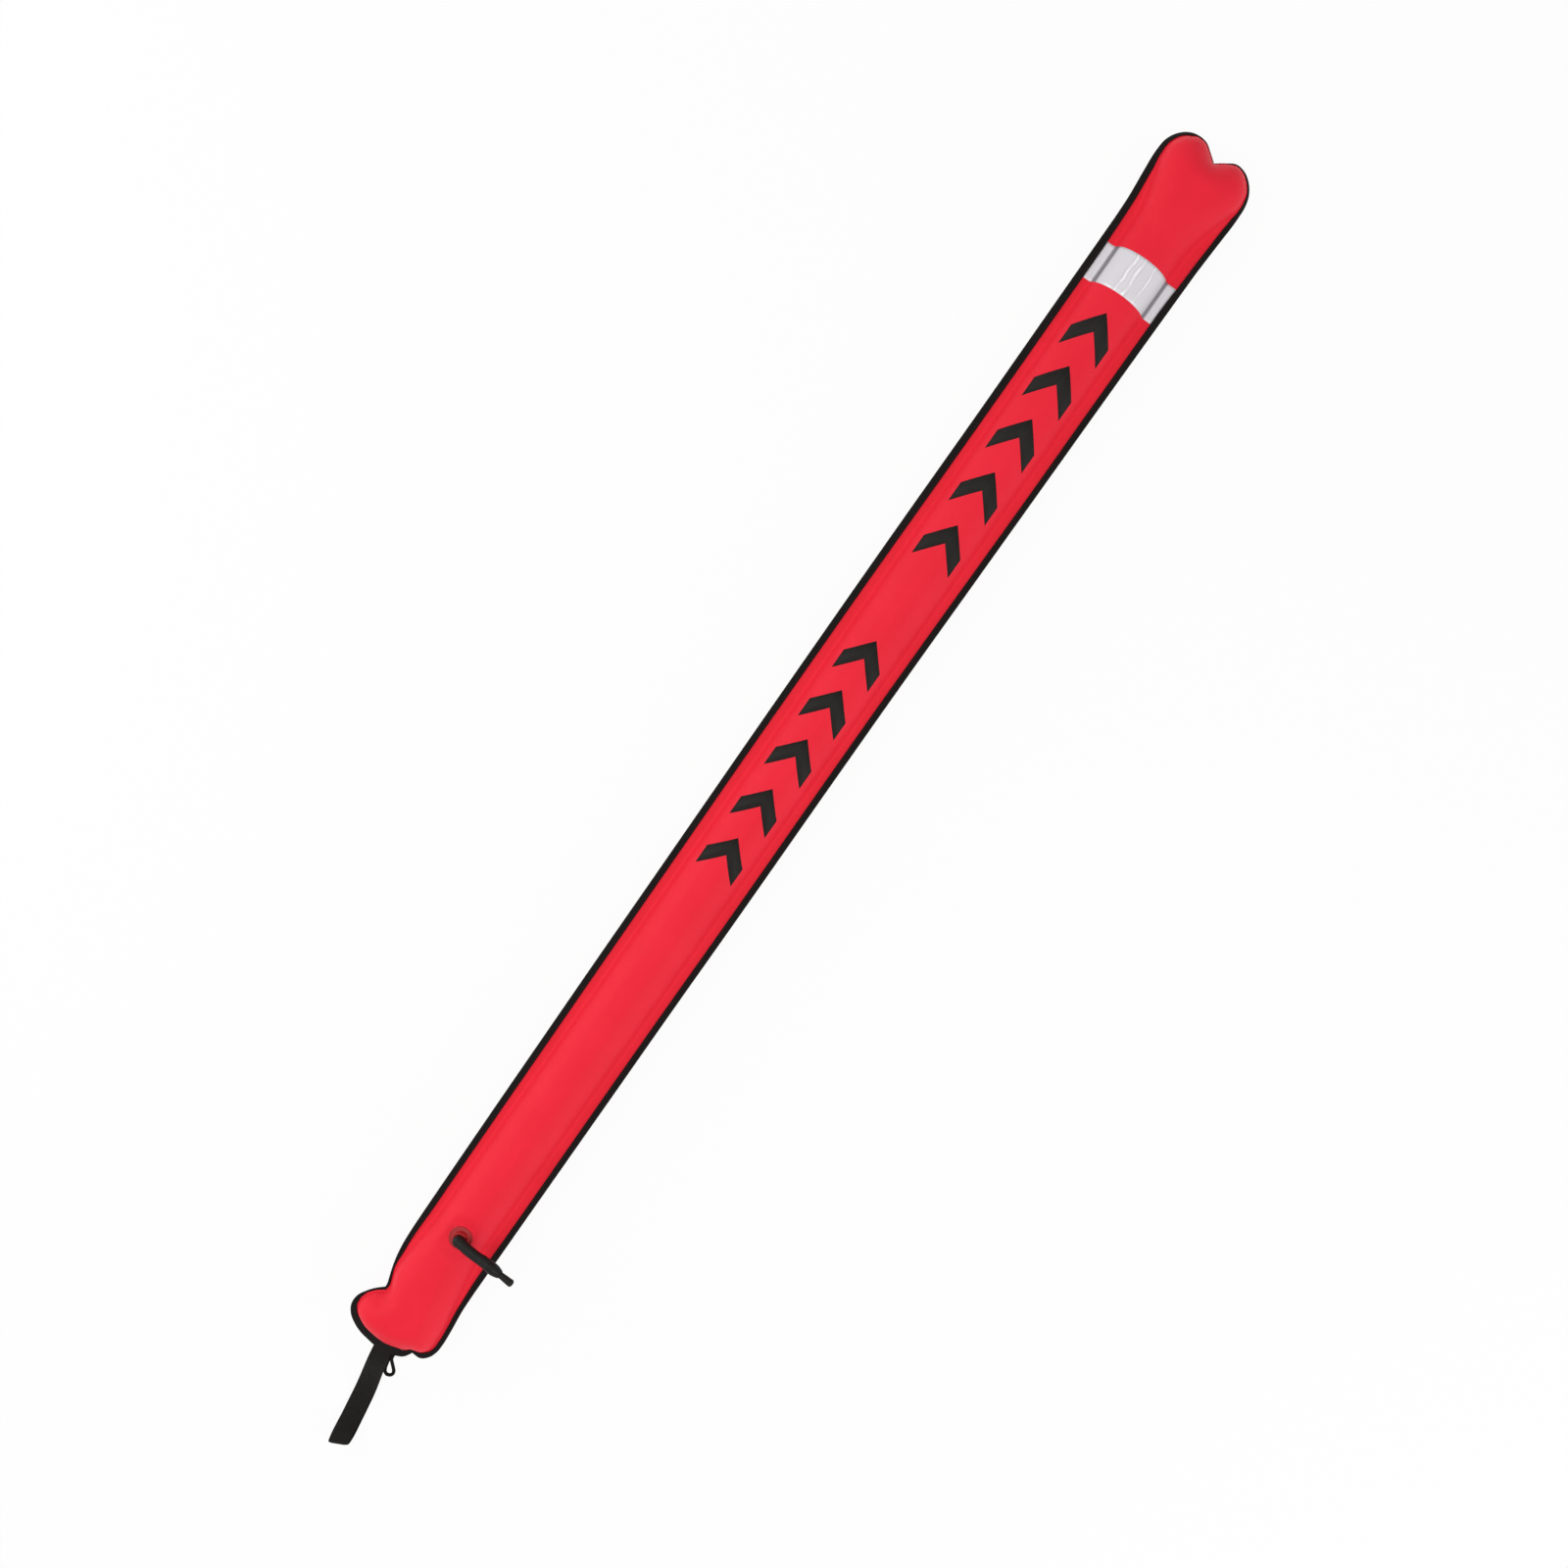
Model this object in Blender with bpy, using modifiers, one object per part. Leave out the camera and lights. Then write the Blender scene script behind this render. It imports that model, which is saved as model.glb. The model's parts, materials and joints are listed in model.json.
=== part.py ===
# Surface marker buoy: a slim inflated tube of coated nylon that a diver sends up on a line.
# Two panels are welded along their edges and bound with tape. A rubber hose with a push valve
# fills it by mouth, a relief valve on the back vents it, and a webbing loop takes the line.
# Units are metres. +X runs along the tube to its top end, +Z is the front panel's side,
# and the tube lies on its back on the plane z = 0.

import math

import bmesh
import bpy
from mathutils import Matrix, Vector

# Fabric tube
FABRIC = 0.0006            # coated nylon, as thick as the model needs
TAPE = 0.0006              # binding tape
GAP = 0.0003               # clearance between pieces that touch
TUBE_RADIUS = 0.0270       # inside of the inflated panels
TOP_SPINE = 0.600          # where the full bulge ends and the top tapers
FOOT_SPINE = -0.640        # the same at the foot
WELD_HALF = 0.0278         # centre line to the weld along the straight sides
WELD_MARGIN = 0.0018       # tape to weld round the ears and the foot, where the bulge crowds it
TAPE_LEAST = 0.0024        # narrowest strip of tape that the model keeps
REST_ANGLE = 80.0          # degrees up the section where the resting strip starts
SECTION_ANGLES = (0.0, 14.0, 28.0, 42.0, 56.0, 68.0, REST_ANGLE, 90.0)
STATION_STEP = 0.0105      # spacing of the loft's stations round the ends

BAND_THICK = 0.00025       # reflective tape

# Where the part's own origin is, measured from the middle of the tube
ORIGIN_X = -0.06479
ORIGIN_Y = -0.01032
PANEL_FACE = GAP / 2                                  # each panel's inner face from the seam
REST_DROP = TUBE_RADIUS * math.sin(math.radians(REST_ANGLE)) + FABRIC + PANEL_FACE
SEAM_Z = REST_DROP + GAP + BAND_THICK                 # height of the seam over the floor

# Bound outline, as runs of points that each curve smoothly from corner to corner.
# Seen from the front, +Y is the left edge when the top end points up.
TOP_LEFT = (
    (0.600, 0.0436), (0.622, 0.0442), (0.645, 0.0461), (0.665, 0.0474), (0.6819, 0.0460),
    (0.6946, 0.0376), (0.7002, 0.0250), (0.6986, 0.0127), (0.6924, 0.0048), (0.6877, -0.0016),
)
TOP_RIGHT = (
    (0.6877, -0.0016), (0.6926, -0.0084), (0.6984, -0.0179), (0.6970, -0.0292), (0.6894, -0.0393),
    (0.6770, -0.0461), (0.658, -0.0475), (0.632, -0.0466), (0.600, -0.0454),
)
FOOT_RIGHT = (
    (-0.640, -0.0475), (-0.655, -0.0487), (-0.668, -0.0487), (-0.6780, -0.0458),
    (-0.6846, -0.0399), (-0.6867, -0.0335), (-0.6856, -0.0288),
)
FOOT_LEFT = (
    (-0.6856, -0.0288), (-0.6940, -0.0240), (-0.6994, -0.0140), (-0.7024, 0.0), (-0.7014, 0.0129),
    (-0.6988, 0.0267), (-0.6928, 0.0393), (-0.6842, 0.0478), (-0.6730, 0.0497), (-0.6623, 0.0457),
    (-0.6522, 0.0384), (-0.6455, 0.0312),
)
FOOT_PUCKER = ((-0.6455, 0.0312), (-0.6432, 0.0312), (-0.640, 0.0316))
LEFT_EDGE_AT = (
    (-0.640, 0.0316), (-0.620, 0.0376), (-0.600, 0.0409), (-0.576, 0.0424), (-0.540, 0.0428),
    (-0.480, 0.0433), (-0.400, 0.0439), (-0.350, 0.0441), (-0.250, 0.0446), (-0.150, 0.0448),
    (0.050, 0.0453), (0.250, 0.0450), (0.400, 0.0440), (0.500, 0.0438), (0.600, 0.0436),
)
RIGHT_EDGE_AT = (
    (-0.640, 0.0475), (-0.620, 0.0455), (-0.600, 0.0449), (-0.560, 0.0447), (-0.450, 0.0443),
    (-0.350, 0.0440), (-0.250, 0.0436), (-0.150, 0.0436), (0.050, 0.0429), (0.150, 0.0428),
    (0.250, 0.0433), (0.400, 0.0440), (0.500, 0.0445), (0.600, 0.0454),
)

# Width of the tape that shows, at places on the outline. It is a 15 mm tape folded in half,
# and narrower where the full bulge turns it down and hides it.
TAPE_AT = (
    (-0.624, 0.0365, 0.0024), (-0.600, 0.0409, 0.0046), (-0.540, 0.0428, 0.0058),
    (-0.300, 0.0443, 0.0061), (0.000, 0.0452, 0.0058), (0.150, 0.0452, 0.0060),
    (0.320, 0.0445, 0.0065), (0.560, 0.0437, 0.0066), (0.620, 0.0442, 0.0058),
    (0.652, 0.0466, 0.0056), (0.667, 0.0474, 0.0044), (0.676, 0.0468, 0.0038),
    (0.685, 0.0448, 0.0032), (0.693, 0.0393, 0.0026), (0.6985, 0.0315, 0.0026),
    (0.7002, 0.0240, 0.0016), (0.6986, 0.0127, 0.0008), (0.6877, -0.0016, 0.0004),
    (0.6926, -0.0084, 0.0004), (0.6984, -0.0179, 0.0010), (0.6894, -0.0393, 0.0012),
    (0.683, -0.0438, 0.0012), (0.674, -0.0466, 0.0020), (0.664, -0.0474, 0.0024),
    (0.655, -0.0475, 0.0039), (0.640, -0.0470, 0.0045), (0.600, -0.0454, 0.0047),
    (0.550, -0.0450, 0.0060), (0.460, -0.0443, 0.0056), (0.350, -0.0437, 0.0052),
    (0.200, -0.0430, 0.0056), (0.060, -0.0429, 0.0058), (-0.180, -0.0436, 0.0056),
    (-0.330, -0.0439, 0.0058), (-0.500, -0.0445, 0.0054), (-0.580, -0.0447, 0.0058),
    (-0.616, -0.0454, 0.0046), (-0.655, -0.0487, 0.0043), (-0.671, -0.0483, 0.0047),
    (-0.683, -0.0420, 0.0060), (-0.6873, -0.0335, 0.0056), (-0.6862, -0.0288, 0.0046),
    (-0.690, -0.0261, 0.0056), (-0.6940, -0.0240, 0.0082), (-0.6994, -0.0140, 0.0092),
    (-0.7024, 0.0000, 0.0092), (-0.7014, 0.0129, 0.0086), (-0.6988, 0.0267, 0.0078),
    (-0.6928, 0.0393, 0.0068), (-0.6842, 0.0478, 0.0061), (-0.6730, 0.0497, 0.0044),
    (-0.665, 0.0469, 0.0034), (-0.6595, 0.0435, 0.0022), (-0.6522, 0.0384, 0.0022),
    (-0.640, 0.0316, 0.0027),
)

# Reflective bands
BAND_START = 0.541
BAND_END = 0.579
BAND_HALF = 0.0364

# Oral inflator, on the front near the foot
INFLATOR_X = -0.5463
INFLATOR_Y = -0.0026
INFLATOR_FLANGE_R = 0.0120
INFLATOR_SEAT_HALF = 0.0140      # half length of the flat that the flange makes in the tube
SEAT_RUNOUT = 0.018              # length over which that flat dies away
INFLATOR_HOLE_R = 0.0043
PIVOT_RISE = 0.0096              # hose hinge above the panel's flat
HOSE_RISE_DEG = 12.0             # the hose stands off the panel by this
HOSE_TURN_DEG = 2.4              # and is turned from square across the tube towards the top
KNUCKLE_R = 0.0065
HOSE_R = 0.0057
HOSE_BORE_R = 0.0032
HOSE_LENGTH = 0.039
VALVE_R = 0.0062
VALVE_LENGTH = 0.0142
MOUTH_R = 0.0033
MOUTH_LIP_R = 0.0041
MOUTH_TIP = 0.0682               # hinge to the tip of the mouthpiece

# Relief valve, on the back
RELIEF_X = -0.470
RELIEF_FLANGE_R = 0.0190
RELIEF_SEAT_HALF = 0.0195
RELIEF_HOLE_R = 0.0114
RELIEF_CAP_R = 0.0122
RELIEF_TOP = 0.0074              # cap's face over the panel's flat

# Webbing loop and keeper cord at the foot
STRAP_ROOT = (-0.7045, -0.0029)
STRAP_TURN_DEG = 8.4
STRAP_WIDTH = 0.0202
STRAP_THICK = 0.0028             # two layers of webbing
WEB = 0.0014                     # one layer
STRAP_RUN = 0.1252               # root to fold, seen from above
STRAP_FALL = 0.068               # length over which it comes down to the floor
EYE_START = 0.088
EYE_RISE = 0.022
EYE_HEIGHT = 0.0094
KEEPER_R = 0.0016
KEEPER_ROUTE = (
    (-0.7001, -0.0149, 0.0), (-0.7040, -0.0149, -0.0010), (-0.7080, -0.0149, -0.0036),
    (-0.7135, -0.0150, -0.0074), (-0.7200, -0.0152, -0.0112), (-0.7264, -0.0164, -0.0144),
    (-0.7301, -0.0197, -0.0154), (-0.7293, -0.0233, -0.0154), (-0.7258, -0.0252, -0.0143),
    (-0.7212, -0.0249, -0.0118), (-0.7155, -0.0225, -0.0084), (-0.7095, -0.0198, -0.0042),
    (-0.7050, -0.0185, -0.0012), (-0.6985, -0.0182, 0.0),
)


for old in list(bpy.data.objects):
    bpy.data.objects.remove(old, do_unlink=True)

parts = bpy.data.collections.new("surface_marker_buoy")
cutters = bpy.data.collections.new("cutters")
bpy.context.scene.collection.children.link(parts)
bpy.context.scene.collection.children.link(cutters)


def material(name, colour, roughness, metallic=0.0):
    """A Principled material with a flat colour."""
    made = bpy.data.materials.new(name)
    made.use_nodes = True
    shader = made.node_tree.nodes["Principled BSDF"]
    shader.inputs["Base Color"].default_value = (*colour, 1.0)
    shader.inputs["Roughness"].default_value = roughness
    shader.inputs["Metallic"].default_value = metallic
    return made


RED_NYLON = material("red_coated_nylon", (0.80, 0.035, 0.05), 0.5)
RED_PLASTIC = material("red_weld_plastic", (0.42, 0.02, 0.02), 0.45)
BLACK_TAPE = material("black_binding_tape", (0.012, 0.010, 0.010), 0.85)
BLACK_WEBBING = material("black_webbing", (0.012, 0.011, 0.011), 0.9)
SILVER = material("reflective_tape", (0.66, 0.65, 0.68), 0.35)
RUBBER = material("black_rubber", (0.02, 0.02, 0.019), 0.6)
BLACK_PLASTIC = material("black_plastic", (0.025, 0.025, 0.025), 0.4)
STEEL = material("spring_steel", (0.6, 0.6, 0.6), 0.3, 1.0)


def keep(obj, mat, parent):
    """Put an object in the part's collection, give it its material and its parent."""
    parts.objects.link(obj)
    obj.data.materials.append(mat)
    obj.parent = parent
    return obj


def empty(name, location, rotation=(0.0, 0.0, 0.0), parent=None):
    made = bpy.data.objects.new(name, None)
    parts.objects.link(made)
    made.location = location
    made.rotation_euler = rotation
    made.parent = parent
    return made


def smooth_points(points, step):
    """Points at an even spacing along a smooth curve through the given ones."""
    ends = [points[0], *points, points[-1]]
    dense = []
    for i in range(len(points) - 1):
        before, start, end, after = (Vector(p) for p in ends[i:i + 4])
        for k in range(20):
            t = k / 20
            dense.append(0.5 * (
                2 * start
                + (end - before) * t
                + (2 * before - 5 * start + 4 * end - after) * t * t
                + (3 * start - before - 3 * end + after) * t ** 3
            ))
    dense.append(Vector(points[-1]))
    run = [0.0]
    for a, b in zip(dense, dense[1:]):
        run.append(run[-1] + (b - a).length)
    count = max(2, round(run[-1] / step))
    even = []
    i = 0
    for k in range(count + 1):
        wanted = run[-1] * k / count
        while i < len(run) - 2 and run[i + 1] < wanted:
            i += 1
        part = (wanted - run[i]) / (run[i + 1] - run[i])
        even.append(dense[i].lerp(dense[i + 1], min(part, 1.0)))
    return even


def ease(value):
    """0 to 1 with a soft start and a soft end."""
    value = min(max(value, 0.0), 1.0)
    return value * value * (3 - 2 * value)


def edge_at(x, table):
    """Half width of one side at x."""
    for (x0, y0), (x1, y1) in zip(table, table[1:]):
        if x < x1:
            return y0 + (y1 - y0) * max(x - x0, 0.0) / (x1 - x0)
    return table[-1][1]


def straight_stations():
    """X positions of the loft along the straight tube, closer where the valves sit."""
    stations = [FOOT_SPINE, -0.620, -0.600, -0.35, -0.25, -0.15, 0.05, 0.15, 0.25, 0.40, 0.50]
    stations += [TOP_SPINE]
    for centre, half in ((INFLATOR_X, INFLATOR_SEAT_HALF), (RELIEF_X, RELIEF_SEAT_HALF)):
        stations += [centre - half, centre + half]
    stations += [INFLATOR_X - INFLATOR_SEAT_HALF - SEAT_RUNOUT]
    stations += [RELIEF_X - 2 * SEAT_RUNOUT - 0.006, RELIEF_X + RELIEF_SEAT_HALF + 0.030]
    return sorted(stations)


def outline():
    """The bound edge, clockwise from the front, and the point of the tube's spine behind each station."""
    xs = straight_stations()
    top = Vector((TOP_SPINE, 0.0))
    foot = Vector((FOOT_SPINE, 0.0))
    edge = [(Vector((x, edge_at(x, LEFT_EDGE_AT))), Vector((x, 0.0))) for x in xs]
    for run in (TOP_LEFT, TOP_RIGHT):
        edge += [(point, top) for point in smooth_points(run, STATION_STEP)[1:]]
    edge += [
        (Vector((x, -edge_at(x, RIGHT_EDGE_AT))), Vector((x, 0.0))) for x in reversed(xs[:-1])
    ]
    for run in (FOOT_RIGHT, FOOT_LEFT, FOOT_PUCKER):
        edge += [(point, foot) for point in smooth_points(run, STATION_STEP)[1:]]
    return edge[:-1]


EDGE = outline()


def inward(index):
    """Unit vector into the tube at a station of the outline."""
    before = EDGE[index - 1][0]
    here = EDGE[index][0]
    after = EDGE[(index + 1) % len(EDGE)][0]
    along = (here - before).normalized() + (after - here).normalized()
    return Vector((along.y, -along.x)).normalized()


def tape_widths():
    """Width of tape that shows at each station, from the nearest places of TAPE_AT."""
    run = [0.0]
    for (a, _), (b, _) in zip(EDGE, EDGE[1:]):
        run.append(run[-1] + (b - a).length)
    whole = run[-1] + (EDGE[0][0] - EDGE[-1][0]).length
    marks = []
    for x, y, width in TAPE_AT:
        nearest = min(range(len(EDGE)), key=lambda i: (EDGE[i][0] - Vector((x, y))).length)
        marks.append((run[nearest], max(width, TAPE_LEAST)))
    marks.sort()
    marks = [(marks[-1][0] - whole, marks[-1][1]), *marks, (marks[0][0] + whole, marks[0][1])]
    widths = []
    for here in run:
        (s0, w0), (s1, w1) = next(pair for pair in zip(marks, marks[1:]) if here < pair[1][0])
        widths.append(w0 + (w1 - w0) * (here - s0) / (s1 - s0))
    return widths


TAPE_WIDTH = tape_widths()


def weld_insets():
    """Edge to weld at each station. The weld is straight along the sides and crowds the tape at the ends."""
    insets = []
    for (point, _), tape in zip(EDGE, TAPE_WIDTH):
        start, length = (0.600, 0.070) if point.x > 0 else (0.540, 0.100)
        share = ease((abs(point.x) - start) / length)
        beside = abs(point.y) - WELD_HALF
        insets.append(beside + (tape + WELD_MARGIN - beside) * share)
    return insets


def inset_loop(insets):
    """The outline moved into the tube."""
    return [point + inward(i) * insets[i] for i, (point, _) in enumerate(EDGE)]


def even_loop(inset):
    return inset_loop([inset] * len(EDGE))


def seat_level(x, centre, half, reach):
    """Height that the panel can reach over a welded flange, which is flat and holds the tube flat."""
    depth = math.sqrt(TUBE_RADIUS ** 2 - reach ** 2)
    return depth + (TUBE_RADIUS - depth) * ease((abs(x - centre) - half) / SEAT_RUNOUT)


INFLATOR_SEAT = seat_level(INFLATOR_X, INFLATOR_X, INFLATOR_SEAT_HALF, INFLATOR_SEAT_HALF)
RELIEF_SEAT = seat_level(RELIEF_X, RELIEF_X, RELIEF_SEAT_HALF, RELIEF_SEAT_HALF)


def bridge(mesh, loops):
    """Quads between closed loops of vertices that hold the same number of vertices."""
    for outer, inner in zip(loops, loops[1:]):
        for i in range(len(outer)):
            j = (i + 1) % len(outer)
            mesh.faces.new((outer[i], outer[j], inner[j], inner[i]))


def face_outwards(mesh, side):
    """Turn a sheet's faces so that most of them look up, or down where side is -1."""
    mesh.normal_update()
    if sum(face.normal.z * face.calc_area() for face in mesh.faces) * side < 0:
        bmesh.ops.reverse_faces(mesh, faces=mesh.faces)


def solid_from(mesh, name, mat, thickness, parent):
    """A shell with its thickness outside the surface that was drawn."""
    data = bpy.data.meshes.new(name)
    mesh.to_mesh(data)
    mesh.free()
    obj = keep(bpy.data.objects.new(name, data), mat, parent)
    shell = obj.modifiers.new("thickness", "SOLIDIFY")
    shell.thickness = thickness
    shell.offset = 1.0
    shell.use_even_offset = True
    return obj


def panel(name, side, cap_levels, parent):
    """One welded panel. side is 1 for the front and -1 for the back."""
    mesh = bmesh.new()
    rim = even_loop(TAPE + 2 * GAP)
    weld = inset_loop(weld_insets())
    loops = [[mesh.verts.new((p.x, p.y, side * PANEL_FACE)) for p in rim]]
    for angle in SECTION_ANGLES:
        out = math.cos(math.radians(angle))
        up = TUBE_RADIUS * math.sin(math.radians(angle))
        if side < 0:
            up = min(up, TUBE_RADIUS * math.sin(math.radians(REST_ANGLE)))
        loop = []
        for (_, spine), foot in zip(EDGE, weld):
            point = spine + (foot - spine) * out
            height = min([up] + [level(point.x) for level in cap_levels])
            loop.append(mesh.verts.new((point.x, point.y, side * (PANEL_FACE + height))))
        loops.append(loop)
    bridge(mesh, loops)
    bmesh.ops.remove_doubles(mesh, verts=mesh.verts, dist=0.00002)
    bmesh.ops.dissolve_degenerate(mesh, edges=mesh.edges, dist=0.00001)
    for face in mesh.faces:
        face.smooth = True
    face_outwards(mesh, side)
    return solid_from(mesh, name, RED_NYLON, FABRIC, parent)


def helper(name, mesh, parent, location=(0.0, 0.0, 0.0), rotation=(0.0, 0.0, 0.0)):
    """A body for a Boolean, shown as wires and left out of renders."""
    data = bpy.data.meshes.new(name)
    mesh.to_mesh(data)
    mesh.free()
    obj = bpy.data.objects.new(name, data)
    cutters.objects.link(obj)
    obj.location = location
    obj.rotation_euler = rotation
    obj.parent = parent
    obj.hide_render = True
    obj.display_type = "WIRE"
    return obj


def add_box(mesh, size, middle):
    """Add a plain box to a mesh and return its vertices."""
    corners = bmesh.ops.create_cube(mesh, size=1.0)["verts"]
    bmesh.ops.scale(mesh, vec=size, verts=corners)
    bmesh.ops.translate(mesh, vec=middle, verts=corners)
    return corners


def rod(radius, depth):
    """A plain cylinder as a mesh."""
    mesh = bmesh.new()
    bmesh.ops.create_cone(
        mesh, cap_ends=True, segments=24, radius1=radius, radius2=radius, depth=depth
    )
    return mesh


def combine(obj, operation, other):
    step = obj.modifiers.new(operation.lower(), "BOOLEAN")
    step.operation = operation
    step.solver = "EXACT"
    step.object = other


def turned(name, mat, profile, parent, segments=20, location=(0, 0, 0)):
    """A turned piece from (radius, height) points that run down its outer side and up its bore."""
    data = bpy.data.meshes.new(name)
    closed = profile[0][0] > 0
    count = len(profile)
    edges = [(i, (i + 1) % count) for i in range(count if closed else count - 1)]
    data.from_pydata([(r, 0.0, z) for r, z in profile], edges, [])
    obj = keep(bpy.data.objects.new(name, data), mat, parent)
    obj.location = location
    spin = obj.modifiers.new("spin", "SCREW")
    spin.steps = segments
    spin.render_steps = segments
    spin.use_merge_vertices = True
    spin.merge_threshold = 0.00002
    spin.use_normal_calculate = False
    return obj


def coil(name, radius, wire, start, end, turns, parent, location=(0, 0, 0)):
    """A compression spring on the local Z axis, from start to end between its wire's outsides."""
    curve = bpy.data.curves.new(name, "CURVE")
    curve.dimensions = "3D"
    curve.bevel_depth = wire
    curve.bevel_resolution = 1
    curve.use_fill_caps = True
    per_turn = 9
    total = turns * per_turn
    spline = curve.splines.new("POLY")
    spline.points.add(total)
    low = start + wire
    high = end - wire
    for i, point in enumerate(spline.points):
        angle = 2 * math.pi * i / per_turn
        height = low + (high - low) * i / total
        point.co = (radius * math.cos(angle), radius * math.sin(angle), height, 1.0)
    obj = keep(bpy.data.objects.new(name, curve), STEEL, parent)
    obj.location = location
    return obj


def arc(centre_r, centre_z, radius, start, end, steps):
    """Points of a circle in the profile plane, from start to end in degrees."""
    return [
        (
            centre_r + radius * math.cos(math.radians(start + (end - start) * i / steps)),
            centre_z + radius * math.sin(math.radians(start + (end - start) * i / steps)),
        )
        for i in range(steps + 1)
    ]


# The tube's own frame: on its centre line, at the height of the seam
tube = empty("tube_frame", (-ORIGIN_X, -ORIGIN_Y, SEAM_Z))


# Front and back panels
def inflator_cap(x):
    return seat_level(x, INFLATOR_X, INFLATOR_SEAT_HALF, INFLATOR_SEAT_HALF)


def relief_cap_level(x):
    return seat_level(x, RELIEF_X, RELIEF_SEAT_HALF, RELIEF_SEAT_HALF)


front_panel = panel("front_panel", 1, [inflator_cap], tube)
back_panel = panel("back_panel", -1, [relief_cap_level], tube)
INFLATOR_FACE = PANEL_FACE + INFLATOR_SEAT + FABRIC
RELIEF_FACE = PANEL_FACE + RELIEF_SEAT + FABRIC
combine(front_panel, "DIFFERENCE", helper(
    "inflator_hole", rod(INFLATOR_HOLE_R, 0.01), tube, (INFLATOR_X, INFLATOR_Y, INFLATOR_FACE)
))
combine(back_panel, "DIFFERENCE", helper(
    "relief_hole", rod(RELIEF_HOLE_R, 0.01), tube, (RELIEF_X, 0.0, -RELIEF_FACE)
))


# Binding tape, folded over the edge of both panels
def binding():
    mesh = bmesh.new()
    face = PANEL_FACE + FABRIC + GAP
    sections = (
        (inset_loop(TAPE_WIDTH), face),
        (even_loop(TAPE + GAP), face),
        (even_loop(TAPE), 0.0),
        (even_loop(TAPE + GAP), -face),
        (inset_loop(TAPE_WIDTH), -face),
    )
    loops = [[mesh.verts.new((p.x, p.y, z)) for p in loop] for loop, z in sections]
    bridge(mesh, loops)
    mesh.normal_update()
    if next(iter(mesh.faces)).normal.z < 0:
        bmesh.ops.reverse_faces(mesh, faces=mesh.faces)
    solid_from(mesh, "edge_binding", BLACK_TAPE, TAPE, tube)


binding()


# Reflective tape, bonded across both panels between the bindings
def band(name, side):
    mesh = bmesh.new()
    reach = TUBE_RADIUS + FABRIC + GAP
    weld_out = WELD_HALF + FABRIC + GAP
    base = PANEL_FACE + FABRIC + GAP
    half = [(BAND_HALF, base)]
    for angle in SECTION_ANGLES:
        up = reach * math.sin(math.radians(angle))
        if side < 0:
            up = min(up, TUBE_RADIUS * math.sin(math.radians(REST_ANGLE)) + FABRIC + GAP)
        half.append((weld_out * math.cos(math.radians(angle)), PANEL_FACE + max(up, base - PANEL_FACE)))
    section = half + [(-y, z) for y, z in reversed(half[:-1])]
    rows = [
        [mesh.verts.new((x, y, side * z)) for y, z in section] for x in (BAND_START, BAND_END)
    ]
    for i in range(len(section) - 1):
        mesh.faces.new((rows[0][i], rows[1][i], rows[1][i + 1], rows[0][i + 1]))
    face_outwards(mesh, side)
    solid_from(mesh, name, SILVER, BAND_THICK, tube)


band("reflective_band_front", 1)
band("reflective_band_back", -1)


# Inflator flange: a disc welded to the panel, with a spigot through it and a cup for the hose,
# which is open on the side that the hose leaves by
def inflator_flange():
    pivot = PIVOT_RISE
    cup = KNUCKLE_R + GAP
    rim_z = pivot - 0.0030
    rim_r = math.sqrt(cup ** 2 - 0.0030 ** 2)
    bore = 0.0022
    bore_z = pivot - math.sqrt(cup ** 2 - bore ** 2)
    start = math.degrees(math.atan2(bore_z - pivot, bore))
    end = math.degrees(math.atan2(rim_z - pivot, rim_r))
    profile = [(rim_r, rim_z), (0.0072, rim_z), (0.0076, rim_z - 0.0005), (0.0080, 0.0016)]
    profile += [(INFLATOR_FLANGE_R - 0.0005, 0.0013), (INFLATOR_FLANGE_R, 0.0009)]
    profile += [(INFLATOR_FLANGE_R, GAP), (0.0040, GAP), (0.0040, -0.0030), (bore, -0.0030)]
    profile += arc(0.0, pivot, cup, start, end, 5)[:-1]
    place = (INFLATOR_X, INFLATOR_Y, INFLATOR_FACE)
    obj = turned("inflator_flange", RED_PLASTIC, profile, tube, 24, place)
    mesh = bmesh.new()
    floor = pivot - KNUCKLE_R - 0.0002
    size = (2 * (HOSE_R + GAP), 0.0100, 0.0100)
    add_box(mesh, size, (0.0, -size[1] / 2, floor + size[2] / 2))
    turn = (0.0, 0.0, math.radians(HOSE_TURN_DEG))
    combine(obj, "DIFFERENCE", helper("hose_slot", mesh, tube, place, turn))
    return obj


inflator_flange()

# The hose's frame sits on its hinge, with local Z along the hose
hose_frame = empty(
    "inflator_hinge",
    (INFLATOR_X, INFLATOR_Y, INFLATOR_FACE + PIVOT_RISE),
    (math.radians(90.0 - HOSE_RISE_DEG), 0.0, math.radians(HOSE_TURN_DEG)),
    tube,
)


# Hose: moulded rubber with a round knuckle that sits in the flange's cup
def inflator_hose():
    shoulder = math.degrees(math.acos(HOSE_R / KNUCKLE_R))
    profile = [(0.0, 0.0), (0.0022, 0.0006), (HOSE_BORE_R, 0.0030)]
    profile += [(HOSE_BORE_R, HOSE_LENGTH), (HOSE_R - 0.0004, HOSE_LENGTH)]
    profile += [(HOSE_R, HOSE_LENGTH - 0.0004)]
    profile += arc(0.0, 0.0, KNUCKLE_R, shoulder, -90.0, 9)[:-1]
    profile += [(0.0, -KNUCKLE_R)]
    obj = turned("inflator_hose", RUBBER, profile, hose_frame)
    straight_down = Matrix.Rotation(-math.radians(90.0 - HOSE_RISE_DEG), 3, "X")
    outlet = helper(
        "hose_outlet", rod(0.0020, 0.0080), hose_frame,
        straight_down @ Vector((0.0, 0.0, -0.0045)), straight_down.to_euler(),
    )
    combine(obj, "DIFFERENCE", outlet)
    return obj


inflator_hose()


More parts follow.
